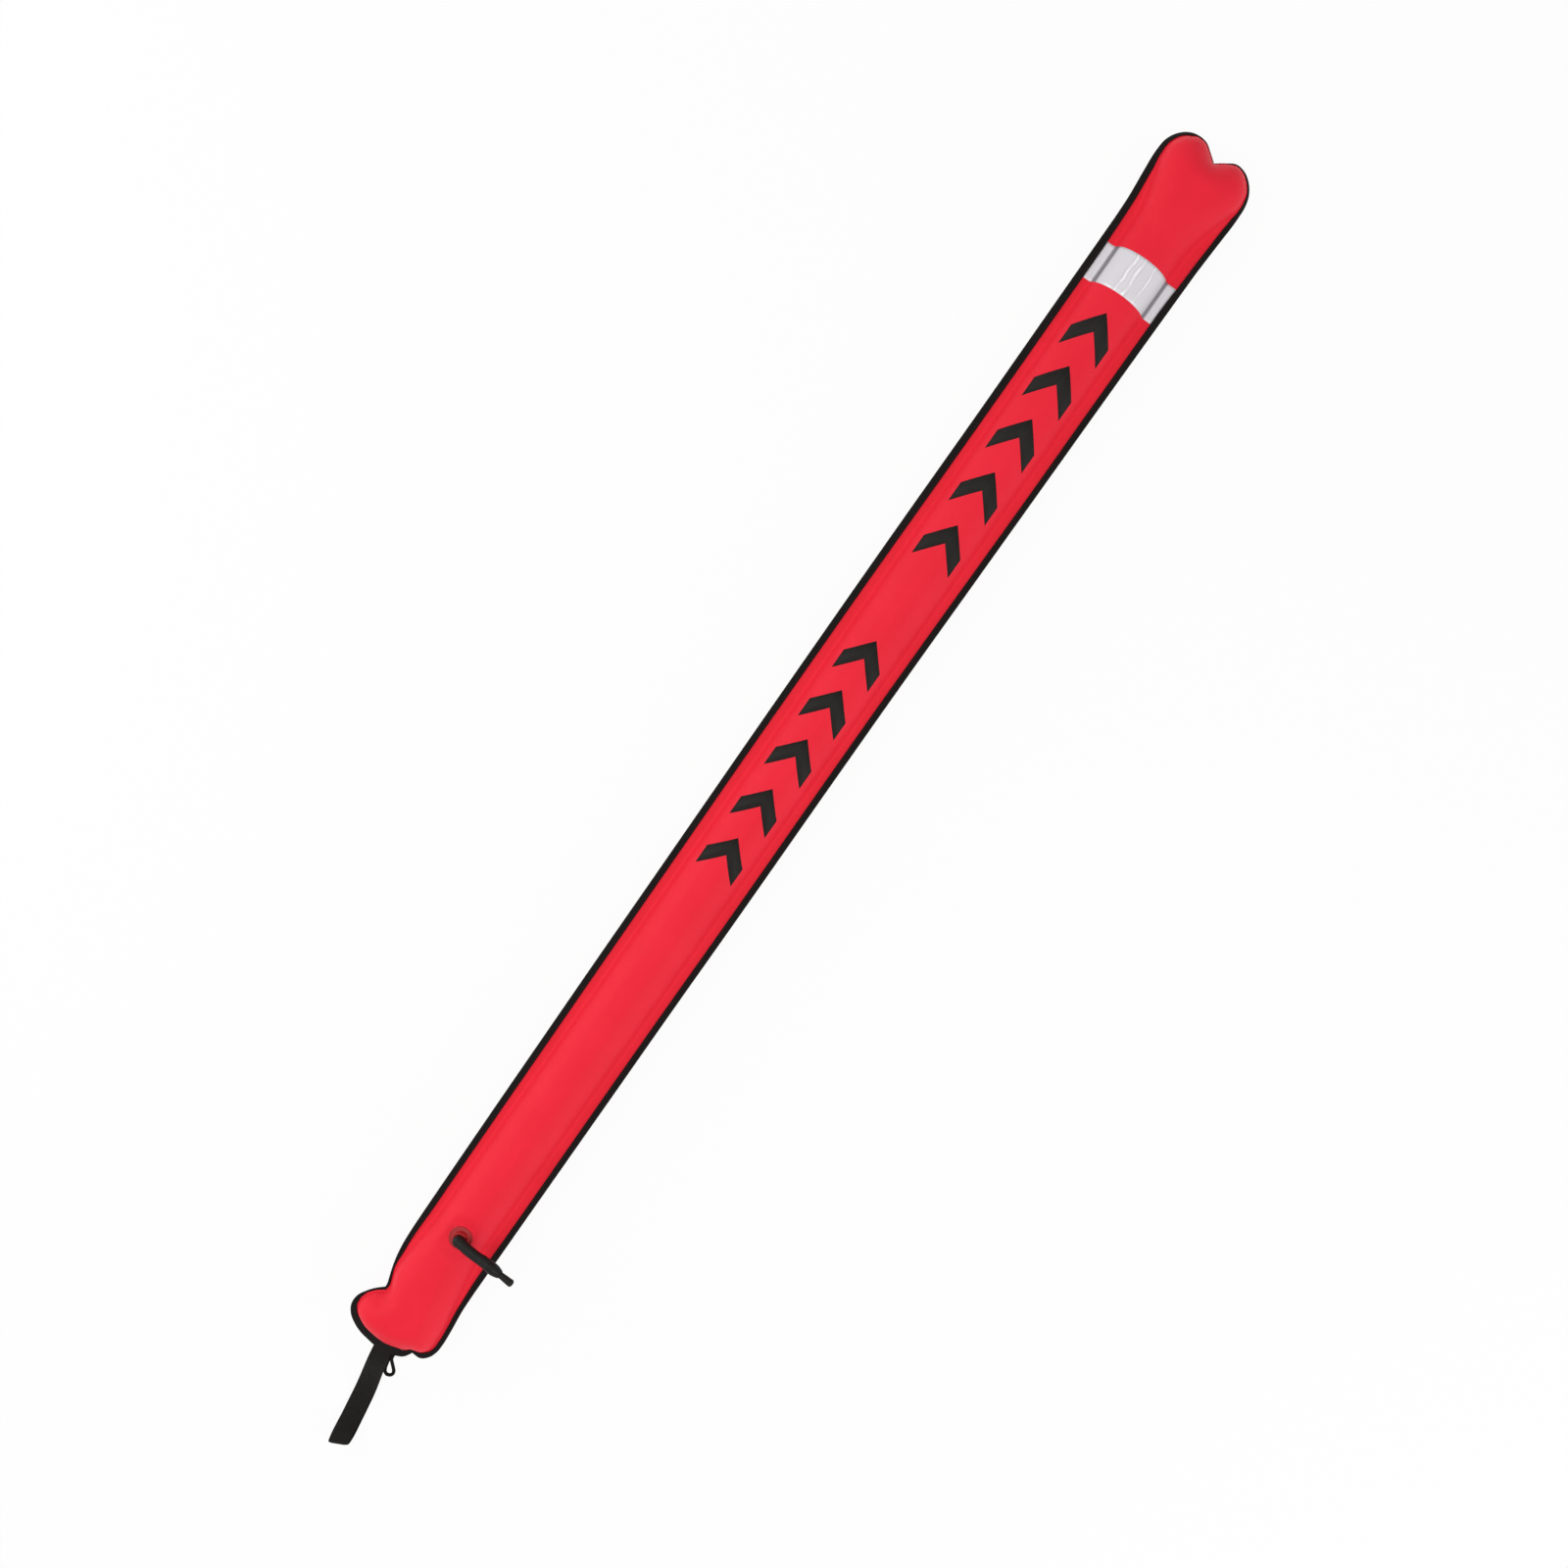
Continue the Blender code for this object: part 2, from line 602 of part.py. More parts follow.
# Valve at the hose's end: a body on a barb, a mouthpiece that is pushed in to open it,
# and a stem whose disc is held shut on the barb's end by a spring
def grooved_side(low, high, radius):
    """Outer side of the valve body from top to bottom: a tapered end, then two grip grooves."""
    depth = 0.0004
    side = [(0.0040, high), (0.0044, high - 0.0006), (0.0052, high - 0.0028)]
    side += [(0.0058, high - 0.0052), (radius, high - 0.0078)]
    for share in (0.32, 0.14):
        middle = low + (high - low) * share
        side += [(radius, middle + 0.0008), (radius - depth, middle + 0.0004)]
        side += [(radius - depth, middle - 0.0004), (radius, middle - 0.0008)]
    return side + [(radius, low + 0.0005), (radius - 0.0004, low)]


BARB_END = 0.0300
BARB_R = 0.0029
BARB_BORE_R = 0.0018
CHAMBER_LOW = 0.0410
CHAMBER_HIGH = 0.0500
CHAMBER_R = 0.0044
VALVE_LOW = HOSE_LENGTH + GAP
VALVE_HIGH = VALVE_LOW + VALVE_LENGTH
SHOULDER_LOW = 0.0476
SHOULDER_HIGH = 0.0496


def valve_body():
    profile = [(MOUTH_R + GAP, VALVE_HIGH)]
    profile += grooved_side(VALVE_LOW, VALVE_HIGH, VALVE_R)
    profile += [(BARB_R, VALVE_LOW), (BARB_R, BARB_END + 0.0005), (BARB_R - 0.0003, BARB_END)]
    profile += [(BARB_BORE_R, BARB_END), (BARB_BORE_R, CHAMBER_LOW), (CHAMBER_R, CHAMBER_LOW)]
    profile += [(CHAMBER_R, CHAMBER_HIGH), (MOUTH_R + GAP, CHAMBER_HIGH)]
    turned("valve_body", BLACK_PLASTIC, profile, hose_frame)


def mouthpiece():
    bore = 0.0021
    lip = MOUTH_LIP_R
    profile = [(bore, MOUTH_TIP), (lip - 0.0009, MOUTH_TIP), (lip, MOUTH_TIP - 0.0009)]
    profile += [(lip, MOUTH_TIP - 0.0026), (lip - 0.0005, MOUTH_TIP - 0.0040)]
    profile += [(MOUTH_R + 0.0002, MOUTH_TIP - 0.0075), (MOUTH_R, MOUTH_TIP - 0.0110)]
    profile += [(MOUTH_R, SHOULDER_HIGH), (CHAMBER_R - GAP, SHOULDER_HIGH)]
    profile += [(CHAMBER_R - GAP, SHOULDER_LOW), (bore, SHOULDER_LOW)]
    turned("mouthpiece", BLACK_PLASTIC, profile, hose_frame)


def valve_stem():
    shaft = 0.0009
    disc = 0.0027
    face = BARB_END - 0.0020
    top = SHOULDER_HIGH - 0.0004
    profile = [(0.0, top), (shaft, top), (shaft, face), (disc, face), (disc, face - 0.0010)]
    profile += [(disc - 0.0004, face - 0.0014), (0.0, face - 0.0014)]
    obj = turned("valve_stem", BLACK_PLASTIC, profile, hose_frame, 16)
    mesh = bmesh.new()
    add_box(mesh, (0.0036, 0.0009, 0.0012), (0.0, 0.0, top - 0.0008))
    combine(obj, "UNION", helper("stem_crossbar", mesh, hose_frame))


def valve_seal():
    low = BARB_END - 0.0017
    high = BARB_END - GAP
    profile = [(0.0012, high), (0.0027, high), (0.0027, low), (0.0012, low)]
    turned("valve_seal", RUBBER, profile, hose_frame, 16)


valve_body()
mouthpiece()
valve_stem()
valve_seal()
coil(
    "valve_spring", 0.0033, 0.0003, CHAMBER_LOW + GAP, SHOULDER_LOW - GAP, 4, hose_frame
)

# The relief valve's frame sits on the back panel's flat, with local Z pointing out of the tube
relief_frame = empty(
    "relief_frame", (RELIEF_X, 0.0, -RELIEF_FACE), (math.radians(180.0), 0.0, 0.0), tube
)


# Relief valve: a welded flange, a body with a seat, a sprung disc and a vented cap
COLLAR_R = RELIEF_HOLE_R - 0.0004
COLLAR_BORE_R = 0.0099
COLLAR_DEPTH = -0.0060
RELIEF_BODY_R = COLLAR_BORE_R - GAP
RELIEF_CHAMBER_R = 0.0084
RELIEF_SEAT_Z = -0.0071
RELIEF_LIP_LOW = 0.0018
RELIEF_LIP_HIGH = 0.0025
GUIDE_R = 0.0016
CAP_INSIDE = RELIEF_TOP - 0.0014


def relief_flange():
    high = RELIEF_LIP_LOW - GAP
    profile = [(COLLAR_BORE_R, high), (0.0130, high), (0.0136, 0.0011)]
    profile += [(RELIEF_FLANGE_R - 0.0004, 0.0009), (RELIEF_FLANGE_R, 0.0006)]
    profile += [(RELIEF_FLANGE_R, GAP), (COLLAR_R, GAP), (COLLAR_R, COLLAR_DEPTH)]
    profile += [(COLLAR_BORE_R, COLLAR_DEPTH)]
    turned("relief_flange", RED_PLASTIC, profile, relief_frame, 28)


def relief_body():
    lip = RELIEF_CAP_R + 0.0004
    plate = RELIEF_SEAT_Z - GAP
    under = RELIEF_SEAT_Z - 0.0011
    profile = [(RELIEF_CHAMBER_R, RELIEF_LIP_HIGH), (lip, RELIEF_LIP_HIGH)]
    profile += [(lip, RELIEF_LIP_LOW), (RELIEF_BODY_R, RELIEF_LIP_LOW), (RELIEF_BODY_R, under)]
    profile += [(0.0052, under), (0.0052, RELIEF_SEAT_Z), (0.0060, RELIEF_SEAT_Z)]
    profile += [(0.0060, plate), (RELIEF_CHAMBER_R, plate)]
    turned("relief_body", BLACK_PLASTIC, profile, relief_frame, 24)


def relief_poppet():
    low = RELIEF_SEAT_Z + 0.0014
    boss = 0.0041
    profile = [(0.0, 0.0052), (GUIDE_R - GAP - 0.0002, 0.0052), (GUIDE_R - GAP, 0.0050)]
    profile += [(GUIDE_R - GAP, low + 0.0016), (0.0026, low + 0.0008), (0.0070, low + 0.0008)]
    profile += [(0.0070, low), (boss, low), (boss, low - 0.0010), (0.0, low - 0.0010)]
    turned("relief_poppet", BLACK_PLASTIC, profile, relief_frame, 20)


def relief_seal():
    low = RELIEF_SEAT_Z + GAP
    high = RELIEF_SEAT_Z + 0.0011
    profile = [(0.0044, high), (0.0069, high), (0.0069, low), (0.0044, low)]
    turned("relief_seal", RUBBER, profile, relief_frame, 20)


def vents():
    """Windows in the cap's skirt and slots in its face, as one cutter."""
    mesh = bmesh.new()
    windows = (8, 0.0115, (0.0040, 0.0030, 0.0034), 0.0028)
    slots = (6, 0.0075, (0.0040, 0.0016, 0.0040), RELIEF_TOP)
    for count, radius, size, height in (windows, slots):
        for i in range(count):
            corners = add_box(mesh, size, (radius, 0.0, height))
            turn = Matrix.Rotation(2 * math.pi * i / count, 3, "Z")
            bmesh.ops.rotate(mesh, cent=(0.0, 0.0, 0.0), matrix=turn, verts=corners)
    return helper("cap_vents", mesh, relief_frame)


def relief_cap():
    low = RELIEF_LIP_HIGH + GAP
    boss = 0.0029
    boss_low = 0.0036
    profile = [(GUIDE_R, RELIEF_TOP), (0.0098, RELIEF_TOP), (0.0116, RELIEF_TOP - 0.0005)]
    profile += [(RELIEF_CAP_R, RELIEF_TOP - 0.0015), (RELIEF_CAP_R, low), (0.0108, low)]
    profile += [(0.0108, CAP_INSIDE), (boss, CAP_INSIDE), (boss, boss_low), (GUIDE_R, boss_low)]
    obj = turned("relief_cap", BLACK_PLASTIC, profile, relief_frame, 32)
    combine(obj, "DIFFERENCE", vents())


relief_flange()
relief_body()
relief_poppet()
relief_seal()
coil(
    "relief_spring", 0.0040, 0.00035, RELIEF_SEAT_Z + 0.0025, CAP_INSIDE - GAP, 5, relief_frame
)
relief_cap()


# Webbing: doubled and sewn flat, with an open eye at the fold for the line
def webbing_strap():
    floor = -SEAM_Z + 0.0002
    fall = floor + STRAP_THICK / 2
    root_r = STRAP_THICK / 2

    def middle(run):
        return Vector((run, fall * ease(run / STRAP_FALL)))

    def eye_top(run):
        rise = ease((run - EYE_START) / EYE_RISE)
        return floor + STRAP_THICK + (EYE_HEIGHT - STRAP_THICK) * rise

    def offset(run, side):
        along = (middle(run + 0.0005) - middle(run - 0.0005)).normalized()
        return middle(run) + Vector((-along.y, along.x)) * side * root_r

    bend_r = EYE_HEIGHT / 2
    bend_x = STRAP_RUN - bend_r
    runs = [EYE_START * i / 14 for i in range(1, 15)]
    eye_runs = [EYE_START + (bend_x - EYE_START) * i / 9 for i in range(1, 9)]
    outside = [Vector((-root_r, 0.0)), Vector((-0.7 * root_r, -0.7 * root_r)), Vector((0.0, -root_r))]
    outside += [offset(run, -1) for run in runs]
    outside += [Vector(p) for p in arc(bend_x, floor + bend_r, bend_r, -90.0, 90.0, 10)]
    outside += [Vector((run, eye_top(run))) for run in reversed(eye_runs)]
    outside += [offset(run, 1) for run in reversed(runs)]
    outside += [Vector((0.0, root_r)), Vector((-0.7 * root_r, 0.7 * root_r))]
    inside = [Vector(p) for p in arc(bend_x, floor + bend_r, bend_r - WEB, -90.0, 90.0, 8)]
    inside += [Vector((run, eye_top(run) - WEB)) for run in reversed(eye_runs)]
    inside += [Vector((eye_runs[0], floor + WEB))]

    curve = bpy.data.curves.new("webbing_strap", "CURVE")
    curve.dimensions = "2D"
    curve.fill_mode = "BOTH"
    curve.extrude = STRAP_WIDTH / 2
    for ring in (outside, inside):
        spline = curve.splines.new("POLY")
        spline.points.add(len(ring) - 1)
        spline.use_cyclic_u = True
        for point, place in zip(spline.points, ring):
            point.co = (place.x, place.y, 0.0, 1.0)
    obj = keep(bpy.data.objects.new("webbing_strap", curve), BLACK_WEBBING, tube)
    obj.location = (*STRAP_ROOT, 0.0)
    obj.rotation_euler = (math.radians(90.0), 0.0, math.radians(180.0 + STRAP_TURN_DEG))


webbing_strap()


# Keeper: a small loop of cord, sewn into the foot seam beside the webbing
def keeper_loop():
    curve = bpy.data.curves.new("keeper_loop", "CURVE")
    curve.dimensions = "3D"
    curve.bevel_depth = KEEPER_R
    curve.bevel_resolution = 2
    curve.use_fill_caps = True
    route = smooth_points(KEEPER_ROUTE, 1.4 * KEEPER_R)
    spline = curve.splines.new("POLY")
    spline.points.add(len(route) - 1)
    for point, place in zip(spline.points, route):
        point.co = (*place, 1.0)
    keep(bpy.data.objects.new("keeper_loop", curve), BLACK_WEBBING, tube)


keeper_loop()
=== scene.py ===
# %% [markdown]
# # A surface marker buoy
# A diver blows this slim tube up under water and sends it to the surface on a line. It is two
# strips of coated nylon, welded along their edges and bound with tape. The CAD frame holds the
# sizes, the valves and the joints. This script gives every piece its finished surface.

# %% Load the frame
import json
import random
from itertools import accumulate
from math import asin, atan2, cos, degrees, exp, log1p, pi, radians, sin, sqrt

import bmesh
import bpy
import numpy as np
from mathutils import Matrix, Vector


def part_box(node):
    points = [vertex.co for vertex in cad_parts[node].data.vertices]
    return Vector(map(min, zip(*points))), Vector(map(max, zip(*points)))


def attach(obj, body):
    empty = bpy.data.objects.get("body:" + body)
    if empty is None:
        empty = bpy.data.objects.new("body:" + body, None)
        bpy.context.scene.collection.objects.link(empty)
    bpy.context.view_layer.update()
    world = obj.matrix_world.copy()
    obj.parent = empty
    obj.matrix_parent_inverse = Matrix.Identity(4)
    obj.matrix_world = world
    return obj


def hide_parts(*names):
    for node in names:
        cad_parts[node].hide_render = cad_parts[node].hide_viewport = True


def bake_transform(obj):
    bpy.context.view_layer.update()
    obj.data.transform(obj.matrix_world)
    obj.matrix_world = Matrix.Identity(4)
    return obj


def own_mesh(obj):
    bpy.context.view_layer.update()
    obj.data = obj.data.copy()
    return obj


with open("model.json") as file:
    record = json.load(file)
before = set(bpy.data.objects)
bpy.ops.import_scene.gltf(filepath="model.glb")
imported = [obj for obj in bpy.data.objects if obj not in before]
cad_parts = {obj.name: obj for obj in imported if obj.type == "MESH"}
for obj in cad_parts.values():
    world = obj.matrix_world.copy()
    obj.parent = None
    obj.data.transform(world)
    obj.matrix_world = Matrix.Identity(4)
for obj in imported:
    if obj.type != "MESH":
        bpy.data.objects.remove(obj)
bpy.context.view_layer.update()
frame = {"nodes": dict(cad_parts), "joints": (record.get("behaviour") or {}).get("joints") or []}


# %% [markdown]
# ## The camera
# The tube's two long edges run together slightly towards its top, which says how far the camera
# leaned. It looked almost straight down, 7 degrees off plumb, and was rolled 35 degrees, so that
# the tube crosses the picture from corner to corner. The lens is a short telephoto.

# %% Camera
TILT = radians(7.107)
ROLL = radians(35.089)
LENS_MM = 38.25
SENSOR_MM = 36.0
FARTHEST = 50.0
CAMERA_AT = Vector((0.26249, 0.00432, 1.6043))


def show(name, data):
    """Put a mesh, curve, lamp or camera into the scene as an object."""
    made = bpy.data.objects.new(name, data)
    bpy.context.scene.collection.objects.link(made)
    return made


forward = Vector((-sin(TILT), 0.0, -cos(TILT)))
level_right = Vector((0.0, -1.0, 0.0))
right = cos(ROLL) * level_right + sin(ROLL) * level_right.cross(forward)
turned = Matrix((right, right.cross(forward), -forward)).transposed().to_4x4()

lens = bpy.data.cameras.new("camera")
lens.lens = LENS_MM
lens.sensor_width = SENSOR_MM
lens.clip_end = FARTHEST
camera = show("camera", lens)
camera.matrix_world = Matrix.Translation(CAMERA_AT) @ turned
bpy.context.scene.camera = camera
print("Camera", round(CAMERA_AT.z, 3), "m over the floor")

# %% [markdown]
# ## Helpers for materials
# Colours are written as sRGB hex, the way that a paint chart gives them, and one function turns
# them into the linear numbers that Blender's sockets take. Another adds a shader node and links it
# in one go. Where an input is given a whole node, it takes that node's first output in use.

# %% Material helpers
def srgb(code):
    """Linear RGBA from a colour such as #f0303f."""
    channels = [int(code[i:i + 2], 16) / 255 for i in (1, 3, 5)]
    linear = [c / 12.92 if c <= 0.04045 else ((c + 0.055) / 1.055) ** 2.4 for c in channels]
    return (*linear, 1.0)


def feed(node, inputs):
    """Set a node's inputs, or link them where the value is a node or a socket."""
    for name, value in inputs.items():
        if isinstance(value, bpy.types.Node):
            value = next(socket for socket in value.outputs if socket.enabled)
        if isinstance(value, bpy.types.NodeSocket):
            node.id_data.links.new(value, node.inputs[name])
        else:
            node.inputs[name].default_value = value


def add(tree, kind, inputs, **settings):
    """Add a shader node with its settings and inputs."""
    node = tree.nodes.new("ShaderNode" + kind)
    for name, value in settings.items():
        setattr(node, name, value)
    feed(node, inputs)
    return node


def surface(name, **sockets):
    """A new material and its Principled shader, with plain values set on its sockets."""
    made = bpy.data.materials.new(name)
    made.use_nodes = True
    shader = made.node_tree.nodes["Principled BSDF"]
    feed(shader, {socket.replace("_", " "): value for socket, value in sockets.items()})
    return made, made.node_tree, shader


print("Colour test:", [round(c, 3) for c in srgb("#f0303f")[:3]])

# %% [markdown]
# ## Cord first: the keeper loop
# A short loop of thin braided cord hangs beside the webbing, with one leg under it and both ends
# sewn into the foot seam. Its length can't change, so its route comes before anything is dressed
# around it. A curve with a round bevel is the right tool, because it is equally thick all along.
# The route is in mm from the middle of the tube and from the height of the seam.

# %% Keeper loop
TUBE_AT = Vector((0.06479, 0.01032))
seam_low, seam_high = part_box("edge_binding")
SEAM_Z = (seam_low.z + seam_high.z) / 2
KEEPER_RADIUS = 0.0018
KEEPER_STEP = 0.0012
KEEPER_MM = (
    (-696.5, -12.4, -1), (-700, -12.4, -2.2), (-704, -12.4, -3.6), (-708.5, -13, -5.8),
    (-713.5, -13.7, -8.3), (-718.7, -14.5, -11), (-724, -15.6, -13.5), (-728, -17.4, -15),
    (-729.7, -20.3, -15.5), (-728.4, -23.3, -15.2), (-724.9, -25.1, -13.7),
    (-720.6, -24.5, -11.5), (-716.5, -22.2, -9.1), (-712.5, -19.6, -6.5), (-708.7, -17.2, -3.8),
    (-705, -15.4, -1.2), (-701, -14.7, 0), (-696.5, -14.7, 0),
)


def smooth_run(points, step):
    """Points about one step apart on a smooth curve through the given ones."""
    points = [Vector(p) for p in points]
    lengths = [(b - a).length for a, b in zip(points, points[1:])]
    slopes = [(b - a) / (b - a).length for a, b in zip(points, points[1:])]
    inner = [
        (slopes[i - 1] * lengths[i] + slopes[i] * lengths[i - 1]) / (lengths[i] + lengths[i - 1])
        for i in range(1, len(slopes))
    ]
    tangents = [slopes[0], *inner, slopes[-1]]
    dense = [points[0]]
    for i, length in enumerate(lengths):
        count = max(1, round(length / step))
        for k in range(1, count + 1):
            t = k / count
            dense.append(
                points[i] * (2 * t ** 3 - 3 * t ** 2 + 1)
                + points[i + 1] * (3 * t ** 2 - 2 * t ** 3)
                + tangents[i] * length * (t ** 3 - 2 * t ** 2 + t)
                + tangents[i + 1] * length * (t ** 3 - t ** 2)
            )
    return dense


def run_length(points):
    return sum((b - a).length for a, b in zip(points, points[1:]))


def thread(name, runs, radius, material, sides, closed=False):
    """A round cord or thread along one or more runs of points."""
    curve = bpy.data.curves.new(name, "CURVE")
    curve.dimensions = "3D"
    curve.bevel_depth = radius
    curve.bevel_resolution = sides
    curve.use_fill_caps = True
    for run in runs:
        spline = curve.splines.new("POLY")
        spline.points.add(len(run) - 1)
        spline.use_cyclic_u = closed
        spline.points.foreach_set("co", [c for place in run for c in (*place, 1.0)])
    curve.materials.append(material)
    return show(name, curve)


def fit(piece, body, node=None):
    """Let a piece ride on its body, and take the place of its CAD node."""
    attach(piece, body)
    if node:
        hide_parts(node)
    return piece


# %% [markdown]
# Braided polyester cord is dull black, with a fine diamond relief where its strands cross.
# A strand is 0.8 mm wide, and one small Voronoi cell stands for each crossing.

# %% Braided cord
STRAND = 0.0008

cord_black, tree, shader = surface(
    "braided_polyester_cord", Roughness=0.9, Specular_IOR_Level=0.08
)
place = add(tree, "TexCoord", {}).outputs["Object"]
cells = add(tree, "TexVoronoi", {"Vector": place, "Scale": 1 / STRAND})
tone = add(tree, "Mix", {0: cells, 6: srgb("#1e1a18"), 7: srgb("#0f0d0c")}, data_type="RGBA")
relief = add(tree, "Bump", {"Height": cells, "Strength": 0.5, "Distance": 0.0002})
feed(shader, {"Base Color": tone, "Normal": relief})

keeper_from = Vector((*TUBE_AT, SEAM_Z))
keeper_path = smooth_run([keeper_from + Vector(place) / 1000 for place in KEEPER_MM], KEEPER_STEP)
keeper = thread("keeper_cord", [keeper_path], KEEPER_RADIUS, cord_black, sides=4)
fit(keeper, "tube", "keeper_loop")

# %% [markdown]
# ## Floor and light
# The buoy lies on a plain white sweep. The floor is white where the camera looks straight at it,
# and still darkens a little where the buoy keeps the light off. The lamps are large and soft. Two
# stand low on both sides and light the walls of the tube, and one hangs over its lower half, where
# it is brightest.

# %% Floor
FLOOR_SIZE = 12.0
FLOOR_DROP = 0.0002
FLOOR_WHITE = 0.93


def finished(name, mesh, material=None):
    """Turn a bmesh into an object at the origin."""
    data = bpy.data.meshes.new(name)
    mesh.to_mesh(data)
    mesh.free()
    if material:
        data.materials.append(material)
    return show(name, data)


def reached_by(tree, *rays):
    """1 where one of these kinds of ray arrives, and 0 for all other light."""
    path = add(tree, "LightPath", {}).outputs
    share = path[rays[0]]
    for ray in rays[1:]:
        share = add(tree, "Math", {0: share, 1: path[ray]}, operation="MAXIMUM")
    return share


paper, tree, shader = surface(
    "white_paper_sweep", Roughness=0.9, Base_Color=(0.86, 0.86, 0.86, 1.0)
)
seen = reached_by(tree, "Is Camera Ray", "Is Glossy Ray")
share = add(tree, "Math", {0: seen, 1: FLOOR_WHITE}, operation="MULTIPLY")
white = add(tree, "Emission", {"Color": (1.0, 1.0, 1.0, 1.0), "Strength": 1.0})
both = add(tree, "MixShader", {0: share, 1: shader, 2: white})
feed(tree.nodes["Material Output"], {"Surface": both})

sheet = bmesh.new()
bmesh.ops.create_grid(sheet, x_segments=2, y_segments=2, size=FLOOR_SIZE / 2)
floor = finished("floor", sheet, paper)
floor.location.z = -FLOOR_DROP

# %% Sky and lamps
SKY_LIGHT = 0.54
LAMPS = (
    ("left_lamp", (-0.5, 2.1, 1.1), (-0.25, 0.0, 0.0), (1.8, 1.2), 21.0),
    ("right_lamp", (-0.4, -2.1, 1.1), (-0.15, 0.0, 0.0), (1.8, 1.2), 17.0),
    ("front_lamp", (-0.2, 0.2, 2.8), (-0.1, 0.0, 0.0), (1.6, 1.0), 15.0),
)

world = bpy.data.worlds.new("soft_room")
bpy.context.scene.world = world
world.use_nodes = True
tree = world.node_tree
seen = reached_by(tree, "Is Camera Ray", "Is Glossy Ray", "Is Transmission Ray")
strength = add(tree, "Mix", {0: seen, 2: SKY_LIGHT, 3: 1.0})
feed(tree.nodes["Background"], {"Color": (1.0, 1.0, 1.0, 1.0), "Strength": strength})

for name, stand, target, size, watts in LAMPS:
    lamp = bpy.data.lights.new(name, "AREA")
    lamp.shape = "RECTANGLE"
    lamp.size, lamp.size_y = size
    lamp.energy = watts
    softbox = show(name, lamp)
    softbox.location = stand
    softbox.rotation_euler = (Vector(target) - Vector(stand)).to_track_quat("-Z", "Y").to_euler()
bpy.context.scene.view_settings.view_transform = "Standard"
print("Sky", SKY_LIGHT, "and", len(LAMPS), "lamps")

# %% [markdown]
# ## The bound outline
# Every fabric piece follows the edge that the tape binds: straight sides, two ears with a notch at
# the top, and a foot with a lobe and a pucker. The CAD binding already has that edge, so it is
# read from there: the longest loop of mesh edges at seam height.

# %% Read the outline
TOP_SPINE = 0.600 + TUBE_AT.x
FOOT_SPINE = -0.640 + TUBE_AT.x
LEFT_FOOT = Vector((FOOT_SPINE, TUBE_AT.y + 0.0316))
LEFT_TOP = Vector((TOP_SPINE, TUBE_AT.y + 0.0436))
RIGHT_TOP = Vector((TOP_SPINE, TUBE_AT.y - 0.0454))
RIGHT_FOOT = Vector((FOOT_SPINE, TUBE_AT.y - 0.0475))
SAME_POINT = 0.00001
SAME_HEIGHT = 0.00003


def level_loops(node, height):
    """The closed loops of edges that a node's mesh has at one height."""
    mesh = bmesh.new()
    mesh.from_mesh(frame["nodes"][node].data)
    bmesh.ops.remove_doubles(mesh, verts=mesh.verts, dist=SAME_POINT)
    flat = {v for v in mesh.verts if abs(v.co.z - height) < SAME_HEIGHT}
    beside = {v: [e.other_vert(v) for e in v.link_edges if e.other_vert(v) in flat] for v in flat}
    loops = []
    while flat:
        step = min(flat, key=lambda v: (v.co.x, v.co.y))
        loops.append([])
        while step:
            loops[-1].append(step.co.xy.copy())
            flat.remove(step)
            step = next((v for v in beside[step] if v in flat), None)
    mesh.free()
    return loops


def loop_area(points):
    """Area inside a loop of points, below zero if it runs clockwise."""
    return sum(a.x * b.y - b.x * a.y for a, b in zip(points, points[1:] + points[:1])) / 2


def nearest(points, place):
    """Number of the point that is nearest to a place."""
    return min(range(len(points)), key=lambda i: (points[i] - place).length)


cad_outline = max(level_loops("edge_binding", SEAM_Z), key=run_length)
if loop_area(cad_outline) > 0:
    cad_outline.reverse()
first = nearest(cad_outline, LEFT_FOOT)
cad_outline = cad_outline[first:] + cad_outline[:first]
print("Outline", len(cad_outline), "points,", round(run_length(cad_outline), 3), "m round")

# %% [markdown]
# The same points are used for the front, the back and the tape, so each becomes a station: its
# place on the edge, the way into the tube, and the point of the tube's centre line behind it.
# Along the sides, left and right stations share their X, so the two halves meet on the crown.
# Round the ends a smooth curve joins the points between the corners that stay sharp.

# %% Stations
SIDE_STEP = 0.0040
END_STEP = 0.0024
SIDE_FINE = 0.0020
END_FINE = 0.0006
CORNER = radians(45.0)


def split_at_corners(points):
    """Runs of points between the sharp corners."""
    runs = [[points[0]]]
    for before, point, after in zip(points, points[1:], points[2:]):
        runs[-1].append(point)
        if abs((point - before).angle_signed(after - point)) > CORNER:
            runs.append([point])
    runs[-1].append(points[-1])
    return runs


def even(points, step):
    """Points spread evenly along a run."""
    total = run_length(points)
    count = max(1, round(total / step))
    spread = [points[0]]
    walked = 0.0
    for a, b in zip(points, points[1:]):
        length = (b - a).length
        while len(spread) < count and walked + length >= total * len(spread) / count:
            spread.append(a.lerp(b, (total * len(spread) / count - walked) / length))
        walked += length
    return [*spread[:count], points[-1]]


def stretch(start, stop):
    """The outline's points from the one nearest to start up to the one nearest to stop."""
    first, last = nearest(cad_outline, start), nearest(cad_outline, stop)
    if first <= last:
        return cad_outline[first:last + 1]
    return cad_outline[first:] + cad_outline[:last + 1]


def side(start, stop, places):
    """The points of a long side at these places along the tube."""
    run = smooth_run(stretch(start, stop), SIDE_FINE)
    points = []
    for x in places:
        found = next((
            a.lerp(b, (x - a.x) / (b.x - a.x)) for a, b in zip(run, run[1:])
            if min(a.x, b.x) <= x <= max(a.x, b.x) and a.x != b.x
        ), None)
        points.append(found or min((run[0], run[-1]), key=lambda p: abs(p.x - x)).copy())
    return points


